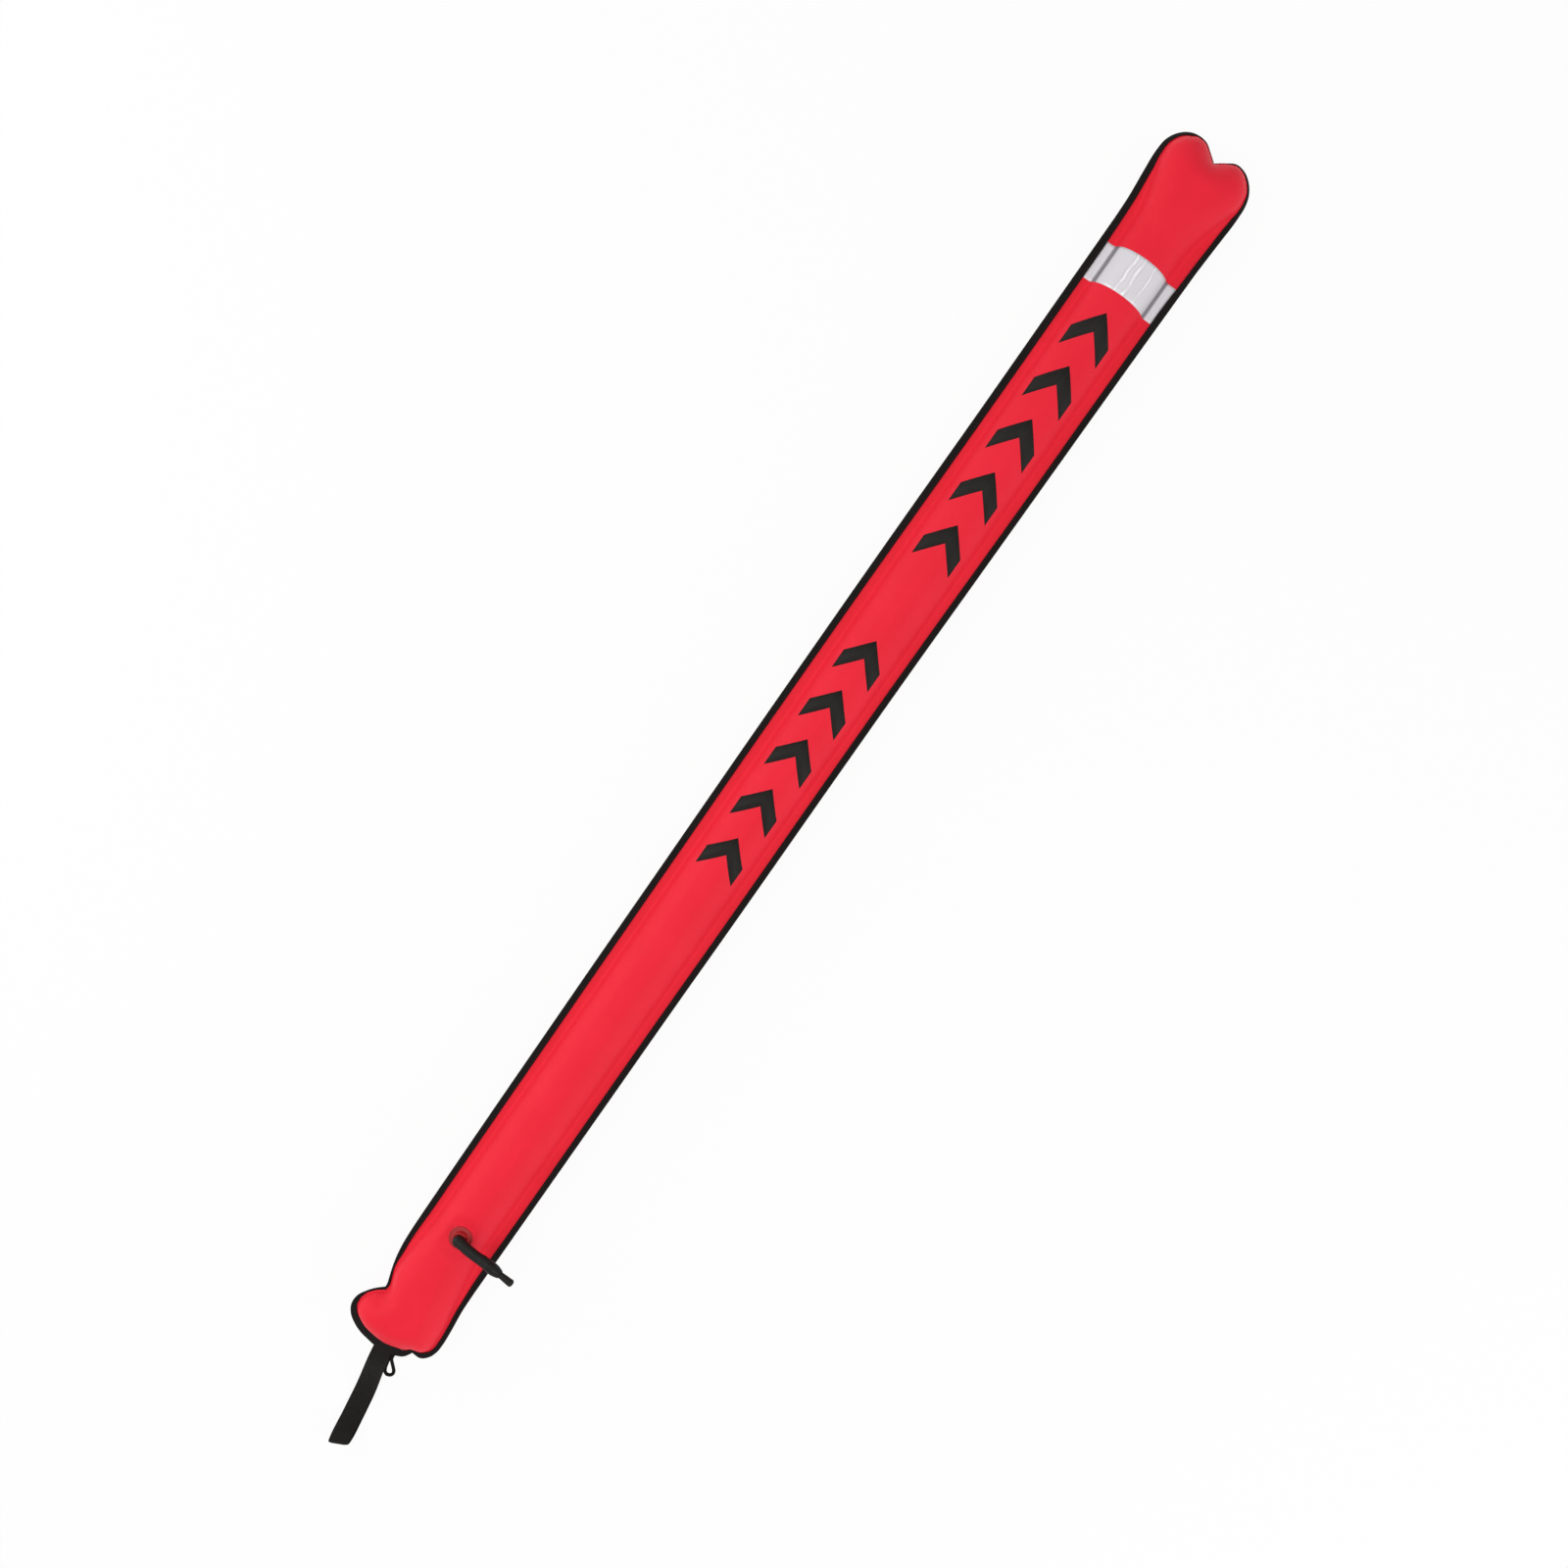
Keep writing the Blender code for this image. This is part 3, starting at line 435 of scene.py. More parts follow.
def end(start, stop):
    """Evenly spread points round the top or the foot."""
    runs = split_at_corners(stretch(start, stop))
    return [p for run in runs for p in even(smooth_run(run, END_FINE), END_STEP)[1:]]


side_count = round((TOP_SPINE - FOOT_SPINE) / SIDE_STEP)
side_x = [FOOT_SPINE + (TOP_SPINE - FOOT_SPINE) * i / side_count for i in range(side_count + 1)]
edge = side(LEFT_FOOT, LEFT_TOP, side_x) + end(LEFT_TOP, RIGHT_TOP)
edge += side(RIGHT_TOP, RIGHT_FOOT, side_x[-2::-1]) + end(RIGHT_FOOT, LEFT_FOOT)[:-1]
stations = range(len(edge))

spine = [Vector((min(max(p.x, FOOT_SPINE), TOP_SPINE), TUBE_AT.y)) for p in edge]
inward = []
for before, point, after in zip(edge[-1:] + edge[:-1], edge, edge[1:] + edge[:1]):
    along = ((after - point).normalized() + (point - before).normalized()).normalized()
    inward.append(Vector((along.y, -along.x)))
travel = [0.0, *accumulate((b - a).length for a, b in zip(edge, edge[1:] + edge[:1]))]
whole_round = travel.pop()
print(len(edge), "stations")

# %% [markdown]
# ## Tape and margin
# From the edge inwards come the tape, a flat red margin, the weld, and then the bulge. The tape
# is 15 mm wide and folded in half. Along the sides all of it shows. Round the ears and in the
# hollow of the foot the full bulge turns the margin down, so less of the tape is seen from the
# front. The table has places on the outline, in mm from the middle of the tube, and the width that
# shows there.

# %% Tape widths
WELD_HALF = 0.0278
TAPE_FULL = 0.0058
TAPE_MM = (
    (-624, 36.5, 2), (-600, 40.9, 4.5), (-540, 42.8, 5.8), (-300, 44.3, 6.1), (0, 45.2, 5.8),
    (150, 45.2, 6), (320, 44.5, 6.5), (560, 43.7, 6.6), (620, 44.2, 5.8), (652, 46.6, 5.6),
    (667, 47.4, 4.4), (676, 46.8, 3.9), (685, 44.8, 3.5), (693, 39.3, 2.9), (698.5, 31.5, 2.8),
    (700.2, 24, 1.2), (698.6, 12.7, 0.6), (687.7, -1.6, 0.2), (692.6, -8.4, 0.3),
    (698.4, -17.9, 1.1), (689.4, -39.3, 1.6), (683, -43.8, 1.6), (674, -46.6, 2.3),
    (664, -47.4, 2.6), (655, -47.5, 3.9), (640, -47, 4.5), (600, -45.4, 4.7), (550, -45, 6),
    (460, -44.3, 5.6), (350, -43.7, 5.2), (200, -43, 5.6), (60, -42.9, 5.8), (-180, -43.6, 5.6),
    (-330, -43.9, 5.8), (-500, -44.5, 5.4), (-580, -44.7, 5.8), (-616, -45.4, 4.6),
    (-655, -48.7, 4.3), (-671, -48.3, 4.3), (-683, -41.8, 5.5), (-686.7, -33.5, 4.8),
    (-685.6, -28.8, 3.4), (-690, -26.1, 4.7), (-694, -24, 7.9), (-699.4, -14, 8.6),
    (-702.4, 0, 8.4), (-701.4, 12.9, 8), (-698.8, 26.7, 7.3), (-692.8, 39.3, 6.8),
    (-684.2, 47.8, 6.1), (-673, 49.7, 4.4), (-665, 46.9, 2.6), (-659.5, 43.5, 1.3),
    (-652.2, 38.4, 1.3), (-640, 31.6, 2.5),
)


def ease(value):
    """From 0 to 1 with a soft start and end."""
    value = min(max(value, 0.0), 1.0)
    return value * value * (3 - 2 * value)


marks = sorted(
    (travel[nearest(edge, TUBE_AT + Vector((x, y)) / 1000)], width / 1000)
    for x, y, width in TAPE_MM
)
marks.insert(0, (marks[-1][0] - whole_round, marks[-1][1]))
marks.append((marks[1][0] + whole_round, marks[1][1]))
tape = []
for s in travel:
    (s0, width0), (s1, width1) = next(pair for pair in zip(marks, marks[1:]) if s < pair[1][0])
    tape.append(width0 + (width1 - width0) * ease((s - s0) / (s1 - s0)))
print("Tape from", round(min(tape) * 1000, 1), "to", round(max(tape) * 1000, 1), "mm")

# %% [markdown]
# Along the sides the weld runs straight, 27.8 mm from the centre line. Towards the ends it closes
# up to the tape. The droop is how far the edge hangs below the weld where the tape is turned down.
# Air presses that edge outwards too, by a seventh of the droop. Where little of the tape shows,
# it is also slimmer, because the layers there are pressed together.

# %% Margins
WELD_GAP = 0.0018
FOOT_GAP = 0.0026
TOP_RUNOUT = 0.070
FOOT_FROM = -0.540
FOOT_RUNOUT = 0.100
DROOP_SHARE = 0.55
DROOP_CURVE = 1.4
LEAN_OUT = 0.14
SLIMMEST = 0.55
FULL_AT = 0.0045

margin = []
droop = []
for point, width in zip(edge, tape):
    at_top = ease((point.x - TOP_SPINE) / TOP_RUNOUT)
    at_foot = ease((TUBE_AT.x + FOOT_FROM - point.x) / FOOT_RUNOUT)
    beside = abs(point.y - TUBE_AT.y) - WELD_HALF
    gap = WELD_GAP if point.x > 0 else FOOT_GAP
    margin.append(beside + (width + gap - beside) * max(at_top, at_foot))
    hidden = sqrt(max(TAPE_FULL ** 2 - width ** 2, 0.0))
    droop.append(DROOP_SHARE * hidden * at_top)
slim = [SLIMMEST + (1.0 - SLIMMEST) * ease(width / FULL_AT) for width in tape]


def edge_point(i, inset, rise):
    """A point over the flat margin: how far in from the edge, and how high over the seam."""
    out = max(margin[i] - inset, 0.0) / margin[i]
    flat = edge[i] + inward[i] * (inset - LEAN_OUT * droop[i] * out)
    rise *= 1.0 + (slim[i] - 1.0) * out
    return Vector((flat.x, flat.y, SEAM_Z + rise - droop[i] * out ** DROOP_CURVE))


print("Margin from", round(min(margin) * 1000, 1), "to", round(max(margin) * 1000, 1), "mm")

# %% [markdown]
# Cloth that is blown up between curved seams has too much length along the seam, and it gathers
# into short puckers that stand square to the weld. They are strongest a few millimetres in from the
# weld and die away up the bulge. Each pucker is a rounded ridge between narrow valleys, with its
# width and depth drawn from a seeded list, so every run gives the same ones.

# %% Puckers
random.seed(11)
BULGE = 0.0276
FABRIC_TOP = 0.00075
PUCKER_WIDTHS = (0.009, 0.021)
PUCKER_REACH = 0.0055
PUCKER_DEPTH = 0.0011
PUCKER_LEAST = 0.04
PUCKER_SHARES = (0.35, 1.0)


def pucker_wave():
    """Height along the seam for every station, from a valley below 0 to a ridge above it."""
    valleys = [0.0]
    while valleys[-1] < travel[-1]:
        valleys.append(valleys[-1] + random.uniform(*PUCKER_WIDTHS))
    depths = [random.uniform(*PUCKER_SHARES) for _ in valleys]
    wave = []
    k = 0
    for s in travel:
        while valleys[k + 1] < s:
            k += 1
        share = (s - valleys[k]) / (valleys[k + 1] - valleys[k])
        depth = depths[k] + (depths[k + 1] - depths[k]) * share
        wave.append((sin(pi * share) ** 0.7 - 0.6) * depth)
    return wave


def pucker_strength(x):
    """Strong at the foot, half as strong at the ears, and faint along the sides."""
    share = max(0.5 * ease((x - TOP_SPINE) / 0.06), ease((FOOT_SPINE + 0.02 - x) / 0.05))
    return PUCKER_LEAST + (1.0 - PUCKER_LEAST) * share


def build_up(distance):
    """Grows from the weld to its full size and fades again up the bulge."""
    t = distance / PUCKER_REACH
    return t * exp(1.0 - t)


front_wave = pucker_wave()
back_wave = pucker_wave()
print("Pucker ridges up to", PUCKER_DEPTH * 1000, "mm")

# %% [markdown]
# The welded flanges are stiff discs, so the tube is flat under them. On the back the tube also
# rests on the floor along a narrow strip. Both are made by a soft limit on the height, which rounds
# the edge of the flat as stretched cloth does. A flat is given as its middle, half of its length,
# and the length over which the skin rises again.

# %% Flats
PIVOT = Vector(next(j for j in frame["joints"] if j["name"] == "hose_bend")["pos_m"])
PIVOT_RISE = 0.0096
CAP_HEIGHT = 0.0074
relief_low, relief_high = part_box("relief_cap")
RELIEF_AT = (relief_low + relief_high) / 2
RELIEF_AT.z = relief_low.z + CAP_HEIGHT
SINK = FABRIC_TOP - 0.0003
FRONT_SEAT = PIVOT.z - PIVOT_RISE - SEAM_Z - SINK
BACK_SEAT = SEAM_Z - RELIEF_AT.z - SINK
REST_LEVEL = SEAM_Z - 0.0012
FREE_LEVEL = BULGE + 0.0030
FRONT_FLAT = (PIVOT.x, 0.0130, 0.020)
BACK_FLAT = (RELIEF_AT.x, 0.0190, 0.024)


def soft_limit(height, level, softness):
    """The smaller of two heights, with the corner between them rounded."""
    gap = (height - level) / softness
    return level - softness * log1p(exp(-gap)) if gap > -20 else height


def seat_level(x, level, centre, half, runout):
    """The height that the skin may reach: the seat's, and free again beside it."""
    return level + (FREE_LEVEL - level) * ease((abs(x - centre) - half) / runout)


def front_limit(x):
    return seat_level(x, FRONT_SEAT, *FRONT_FLAT)


def back_limit(x):
    return min(seat_level(x, BACK_SEAT, *BACK_FLAT), REST_LEVEL)


print("Front seat", round(FRONT_SEAT * 1000, 2), "mm and back seat", round(BACK_SEAT * 1000, 2))

# %% [markdown]
# Pressure lifts the margin a little where it meets the bulge, so the fold at the weld isn't sharp.
# It is a small round of about 4 mm, which shrinks where the margin is narrow.

# %% Fold at the weld
FOLD = 0.0045
FOLD_STEPS = 6


def fold_points(radius, lift=0.0):
    """The round as (distance outside the weld, height), from the margin up to the bulge."""
    turns = [pi / 2 * k / FOLD_STEPS for k in range(FOLD_STEPS)]
    reach = radius - lift
    return [(radius - reach * sin(turn), radius - reach * cos(turn)) for turn in turns]


def above_fold(height, radius):
    """Height of the bulge, which starts at the top of the round."""
    return (max(height, 0.0) ** 3 + radius ** 3) ** (1 / 3)


fold = [min(FOLD, 0.8 * (deep - width)) for deep, width in zip(margin, tape)]
print("Round at the weld", round(min(fold) * 1000, 1), "to", round(max(fold) * 1000, 1), "mm")

# %% [markdown]
# ## The two panels
# Each panel is one skin from the rim to the crown. A circle of edges is bent into the outline and
# extruded ring after ring, and each new ring is moved to its place on the section. That keeps the
# rows of the mesh parallel to the weld, where the form is steepest. While it goes, every point
# also gets its place on the flat cloth as a UV in metres, so the weave follows the fabric.

# %% Skins from rings
CLOSE = 0.00002


def face_outwards(mesh):
    """Turn the faces so that they look away from the seam's level."""
    mesh.normal_update()
    if sum(
        face.normal.z * (face.calc_center_median().z - SEAM_Z) * face.calc_area()
        for face in mesh.faces
    ) < 0:
        bmesh.ops.reverse_faces(mesh, faces=mesh.faces)


def lay_flat(mesh, spot):
    """Shade the faces smooth, with each corner's spot on the flat cloth as its UV."""
    layer = mesh.loops.layers.uv.new("cloth")
    for face in mesh.faces:
        face.smooth = True
        for corner in face.loops:
            corner[layer].uv = spot(corner.vert)


def joined(mesh, places, closed=False):
    """Corners at these places, and edges from each to the next."""
    row = [mesh.verts.new(place) for place in places]
    after = row[1:] + row[:1] if closed else row[1:]
    return row, [mesh.edges.new(pair) for pair in zip(row, after)]


def sweep(rings, flats, closed=True, capped=False):
    """Extrude a row of edges from ring to ring. flats holds each place on the flat cloth."""
    mesh = bmesh.new()
    if closed:
        row = bmesh.ops.create_circle(mesh, segments=len(rings[0]), radius=1.0)["verts"]
        edges = list(mesh.edges)
    else:
        row, edges = joined(mesh, rings[0])
    first_row = row
    spot = {}
    for k, (ring, flat) in enumerate(zip(rings, flats)):
        if k:
            made = bmesh.ops.extrude_edge_only(mesh, edges=edges)["geom"]
            fresh = {g for g in made if isinstance(g, bmesh.types.BMVert)}
            edges = [g for g in made if isinstance(g, bmesh.types.BMEdge) and set(g.verts) <= fresh]
            pairs = [[e.other_vert(v) for e in v.link_edges] for v in row]
            row = [next(v for v in pair if v in fresh) for pair in pairs]
        for vert, place, flat_place in zip(row, ring, flat):
            vert.co = place
            spot[vert] = flat_place
    if capped:
        mesh.faces.new(first_row)
        mesh.faces.new(row)
    lay_flat(mesh, spot.get)
    return mesh


def thicken(piece, thickness):
    """Give a skin its thickness on the inner side."""
    shell = piece.modifiers.new("thickness", "SOLIDIFY")
    shell.thickness = thickness
    shell.offset = -1.0
    shell.use_even_offset = False
    return piece


def skin(name, rings, flats, thickness, material):
    """A thin skin through closed rings of points."""
    mesh = sweep(rings, flats)
    bmesh.ops.remove_doubles(mesh, verts=mesh.verts, dist=CLOSE)
    bmesh.ops.dissolve_degenerate(mesh, edges=mesh.edges, dist=CLOSE)
    face_outwards(mesh)
    return thicken(finished(name, mesh, material), thickness)


# %% [markdown]
# Along the sides the section is nearly a half circle. Round the ears and the foot it isn't so
# simple, but one rule gives both. Every bit of weld holds the skin down, more strongly the nearer
# it is. Adding 1/distance squared along the whole weld gives a number that falls to a half circle's
# height between two straight welds, and to smooth lobes in the ears.

# %% Panel rings
ANGLES = [0.0, 1.5, 3.5, 6.0, 9.0, 12.0] + [12.0 + 78.0 * i / 19 for i in range(1, 20)]
MARGIN_SHARES = (0.0, 0.5, 0.94)
MARGIN_START = 0.0011
WALL = 1.12
FABRIC_THICK = 0.0004
ON_WELD = 1e-12
NO_HEIGHT = 1e6
HIGHEST = BULGE + 0.0006
GATHER_FROM = 0.004
weld = [edge[i] + inward[i] * margin[i] for i in stations]


def blown_height(points):
    """Height of the blown-up skin over points in plan."""
    here = np.array([(p.x, p.y) for p in points])[:, None, :]
    start = np.array([(p.x, p.y) for p in weld])[None, :, :]
    a = start - here
    b = np.roll(start, -1, axis=1) - here
    cross = np.abs(a[..., 0] * b[..., 1] - a[..., 1] * b[..., 0])
    angle = np.arctan2(cross, (a * b).sum(axis=2))
    length = np.linalg.norm(b - a, axis=2)
    hold = length * np.where(cross > ON_WELD, angle / np.maximum(cross, ON_WELD), NO_HEIGHT)
    return np.sqrt(2 * np.pi * WELD_HALF / hold.sum(axis=1)) * BULGE / WELD_HALF


def section_plan(angle):
    """Plan places and free heights of one ring of the section."""
    out = cos(radians(angle))
    high = sin(radians(angle)) ** WALL
    plan = [spine[i] + (weld[i] - spine[i]) * out for i in stations]
    if angle == 0.0:
        return plan, [0.0] * len(edge)
    heights = []
    for point, blown in zip(plan, blown_height(plan)):
        top_share = ease((point.x - TOP_SPINE + 0.02) / 0.06)
        foot_share = ease((FOOT_SPINE + 0.05 - point.x) / 0.06)
        blown = soft_limit(blown * high ** (WALL - 1.0), HIGHEST, 0.0005)
        heights.append(BULGE * high + (blown - BULGE * high) * max(top_share, foot_share))
    return plan, heights


sections = [section_plan(angle) for angle in ANGLES]


def panel_rings(side, wave, limit):
    """Rings of one panel from its rim to its crown, and the flat cloth under them."""
    rings = [
        [
            edge_point(i, max(MARGIN_START, (margin[i] - fold[i]) * share), side * FABRIC_TOP)
            for i in stations
        ]
        for share in MARGIN_SHARES
    ]
    for turn in range(FOLD_STEPS):
        ring = []
        for i in stations:
            out, high = fold_points(fold[i])[turn]
            place = edge_point(i, margin[i] - out, side * FABRIC_TOP)
            ring.append(place + Vector((0.0, 0.0, side * high)))
        rings.append(ring)
    for plan, heights in sections:
        ring = []
        for i, (flat, height) in enumerate(zip(plan, heights)):
            away = (weld[i] - flat).length + height
            gather = PUCKER_DEPTH * pucker_strength(edge[i].x) * wave[i] * build_up(away)
            height = above_fold(height + gather * min(height / GATHER_FROM, 1.0), fold[i])
            height = soft_limit(height, limit(flat.x), 0.0004)
            ring.append(Vector((flat.x, flat.y, SEAM_Z + side * (FABRIC_TOP + height))))
        rings.append(ring)
    flats = []
    reach = [0.0] * len(edge)
    outer = rings[-1]
    for ring in rings[::-1]:
        reach = [r + (a - b).length for r, a, b in zip(reach, ring, outer)]
        outer = ring
        flats.append([spine[i] + (weld[i] - spine[i]).normalized() * reach[i] for i in stations])
    return rings, flats[::-1]


def flat_size(points):
    """Width and length of the cut cloth, from the loop of its rim."""
    xs = [p.x for p in points]
    ys = [p.y for p in points]
    return max(ys) - min(ys), max(xs) - min(xs)


front_rings, front_flats = panel_rings(1, front_wave, front_limit)
back_rings, back_flats = panel_rings(-1, back_wave, back_limit)
print("Front panel cut", [round(v * 1000) for v in flat_size(front_flats[0])], "mm")

# %% [markdown]
# Coated nylon: 210 denier yarn woven plain and coated with polyurethane, so it has a satin sheen
# and a soft grain. Real threads are about 0.4 mm apart, too fine to show from here, so the weave
# is drawn at 1.2 mm and shallow. Larger clouds of tone stand for the coating's uneven thickness.

# %% Woven cloth
CLOUD = 0.05


def weave_height(tree, flat, pitch):
    """Height of a plain weave on UVs in metres: yarns one way, or the other, by turns."""
    warp, weft = (
        add(tree, "TexWave", {"Vector": flat, "Scale": 2 * pi / (20 * pitch)},
            wave_type="BANDS", bands_direction=way).outputs["Fac"]
        for way in "XY"
    )
    turns = add(tree, "TexChecker", {
        "Vector": flat, "Scale": 1 / pitch,
        "Color1": (1.0, 1.0, 1.0, 1.0), "Color2": (0.0, 0.0, 0.0, 1.0),
    }).outputs["Fac"]
    return add(tree, "Mix", {0: turns, 2: warp, 3: weft})


def cloth(name, light, dark, pitch, depth, roughness, specular=0.15):
    """Woven cloth in two tones: a weave, and larger clouds of tone over it."""
    made, tree, shader = surface(name, Roughness=roughness, Specular_IOR_Level=specular)
    flat = add(tree, "UVMap", {}, uv_map="cloth")
    height = weave_height(tree, flat, pitch)
    clouds = add(tree, "TexNoise", {"Vector": flat, "Scale": 1 / CLOUD, "Detail": 3.0})
    blend = add(tree, "Math", {0: height, 1: 0.35, 2: clouds}, operation="MULTIPLY_ADD")
    share = add(tree, "MapRange", {"Value": blend, 1: 0.35, 2: 1.0})
    tone = add(tree, "Mix", {0: share, 6: srgb(dark), 7: srgb(light)}, data_type="RGBA")
    bump = add(tree, "Bump", {"Height": height, "Strength": depth, "Distance": 0.0003})
    feed(shader, {"Base Color": tone, "Normal": bump})
    return made


red_nylon = cloth("coated_nylon_red", "#f42a3e", "#ec2638", 0.0012, 0.2, 0.5, specular=0.10)
print("Cloth:", red_nylon.name)

# %% Panels
for name, rings, flats, node in (
    ("front_panel_cloth", front_rings, front_flats, "front_panel"),
    ("back_panel_cloth", back_rings, back_flats, "back_panel"),
):
    panel = skin(name, rings, flats, FABRIC_THICK, red_nylon)
    fit(panel, "tube", node)
    print(name, len(panel.data.polygons), "faces")

# %% [markdown]
# ## Binding tape
# A 15 mm tape of black woven polyester is folded over both margins and sewn through. It is the
# same ring trick as the panels: the section runs in from the front, round the fold and out along
# the back. A lockstitch then runs round it on both sides. Its thread dips into the tape at each
# needle hole, so only the dashes between the holes show.

# %% Binding
TAPE_THICK = 0.00045
TAPE_SIDE = 0.0067
TAPE_LAP = 0.0004
TAPE_HALF = [(share, rise / 1000) for share, rise in (
    (1.0, 1.25), (0.985, 1.48), (0.90, 1.52), (0.78, 1.38), (0.66, 1.52),
    (0.40, 1.60), (0.18, 1.62), (0.07, 1.45), (0.015, 0.85), (0.0, 0.0),
)]

black_tape = cloth("woven_polyester_tape_black", "#1b1716", "#0f0c0c", 0.0010, 0.5, 0.8)
tape_rings = []
tape_flats = []
across = 0.0
last = None
for share, rise in TAPE_HALF + [(share, -rise) for share, rise in TAPE_HALF[-2::-1]]:
    ring = []
    for i in stations:
        over = TAPE_THICK * (slim[i] - SLIMMEST) / (1.0 - SLIMMEST)
        ring.append(edge_point(i, (tape[i] + TAPE_LAP + over) * share - over, rise))
    here = Vector((TAPE_SIDE * share, rise))
    across += (here - (last or here)).length
    last = here
    tape_rings.append(ring)
    tape_flats.append([Vector((s, across)) for s in travel])
binding = skin("binding_tape", tape_rings, tape_flats, TAPE_THICK, black_tape)
fit(binding, "tube", "edge_binding")

# %% Binding stitches
STITCH = 0.0036
STITCH_SHARE = 0.78
STITCH_RISE = 0.0015
THREAD_RADIUS = 0.00024
TAPE_DIP = 0.0007


def dip(points, depth):
    """Let a thread dip into the cloth at each needle hole, four points apart."""
    for k, point in enumerate(points):
        point.z += depth * (sin(pi * k / 4) ** 2 - 0.65)
    return points


def stitch_row(side):
    """A closed row of stitches along the tape, on its front or its back."""
    row = [edge_point(i, tape[i] * STITCH_SHARE, side * STITCH_RISE) for i in stations]
    row.append(row[0])
    total = run_length(row)
    return dip(even(row, total / (4 * round(total / STITCH)))[:-1], side * TAPE_DIP)


thread_black = surface(
    "polyester_thread_black", Roughness=0.55, Specular_IOR_Level=0.25,
    Base_Color=srgb("#211d1b"),
)[0]
stitches = thread(
    "binding_stitches", [stitch_row(1), stitch_row(-1)], THREAD_RADIUS, thread_black,
    sides=0, closed=True,
)
fit(stitches, "tube")
print("Two stitch rows at", STITCH * 1000, "mm a stitch")

# %% [markdown]
# ## Reflective bands
# A 38 mm strip of silver film with glass beads is bonded over each panel, from tape to tape. It
# goes flat over the margin, folds sharply at the weld and climbs the bulge. The film is stiffer
# than the nylon, so it keeps long creases along the tube, drawn as white painted highlights.

# %% Bands
BAND_START, BAND_END = (corner.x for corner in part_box("reflective_band_front"))
BAND_THICK = 0.00015
BAND_LIFT = 0.00012
BAND_SIDES = (0.0388, 0.0406)
BAND_STEPS = 14
ROUND_STEPS = 60


def band_section(reach, limit):
    """Half a section as (distance from the middle, height) from the tape to the crown."""
    section = [(reach, FABRIC_TOP + BAND_LIFT)]
    section += [(WELD_HALF + out, FABRIC_TOP + up) for out, up in fold_points(FOLD, BAND_LIFT)]
    for k in range(ROUND_STEPS + 1):
        angle = pi / 2 * k / ROUND_STEPS
        high = above_fold((BULGE + BAND_LIFT) * sin(angle) ** WALL, FOLD)
        high = FABRIC_TOP + soft_limit(high, limit, 0.0003)
        section.append(((BAND_LIFT + WELD_HALF) * cos(angle), high))
    return section


def band(name, side, limit, node):
    """One reflective strip, swept from its section along the tube."""
    section = band_section(BAND_SIDES[0], limit)
    section += [(-y, z) for y, z in band_section(BAND_SIDES[1], limit)[-2::-1]]
    shares = [max(-1.0, min(1.0, y / (WELD_HALF + BAND_LIFT))) for y, _ in section]
    xs = [BAND_START + (BAND_END - BAND_START) * k / BAND_STEPS for k in range(BAND_STEPS + 1)]
    rings = [[(x, TUBE_AT.y + y, SEAM_Z + side * z) for y, z in section] for x in xs]
    flats = [[(x, asin(share) * BULGE) for share in shares] for x in xs]
    mesh = sweep(rings, flats, closed=False)
    face_outwards(mesh)
    strip = thicken(finished(name, mesh, silver_film), BAND_THICK)
    fit(strip, "tube", node)


# %% [markdown]
# Retroreflective film is a layer of glass beads on aluminium under clear resin. Face on it is a
# light grey with a satin gloss. Along each crease runs a white painted highlight, with painted
# shade beside it, and a grey painted shade lies in the fold at the weld. Both are drawn across the
# strip from the distance to its middle. A real bead is finer than a tenth of a millimetre, and is
# drawn at 0.6 mm so that it can show.

# %% Reflective film
FOLD_SHADE_AT = (0.0265, -0.0288)
PAINTED_CREASE_LINES = ((0.0061, 0.0011), (-0.0020, 0.0013), (-0.0146, 0.0009))
WANDER = 0.0060
BEAD = 0.0006
FOLD_SHADE_REACH = (0.0009, 0.0028)
WANDERS_PER_M = 45.0
PAINTED_LINE_FADES_PER_M = 110.0

silver_film, tree, shader = surface("glass_bead_film", Roughness=0.42, Metallic=0.2)
flat = add(tree, "UVMap", {}, uv_map="cloth")
across = add(tree, "SeparateXYZ", {"Vector": flat}).outputs["Y"]
wander = add(tree, "TexNoise", {"Vector": flat, "Scale": WANDERS_PER_M, "Detail": 2.0})
across = add(tree, "Math", {0: wander, 1: WANDER, 2: across}, operation="MULTIPLY_ADD")
# Noise along the tube fades the painted highlights and the painted shade beside them in and out.
painted_line_fade = add(tree, "TexNoise", {"Vector": flat, "Scale": PAINTED_LINE_FADES_PER_M, "Detail": 1.0})
painted_line_fade = add(tree, "MapRange", {"Value": painted_line_fade, 1: 0.38, 2: 0.60, 3: 0.35, 4: 1.0})
place = add(tree, "TexCoord", {}).outputs["Object"]
off_middle = add(tree, "SeparateXYZ", {"Vector": place}).outputs["Y"]


def streak(distance, middle, inner, outer, top):
    """A soft line: its strength where a distance is near to a middle, and 0 away from it."""
    apart = add(tree, "Math", {0: distance, 1: middle}, operation="SUBTRACT")
    apart = add(tree, "Math", {0: apart}, operation="ABSOLUTE")
    return add(tree, "MapRange", {
        "Value": apart, 1: inner, 2: outer, 3: top, 4: 0.0,
    }, interpolation_type="SMOOTHSTEP")


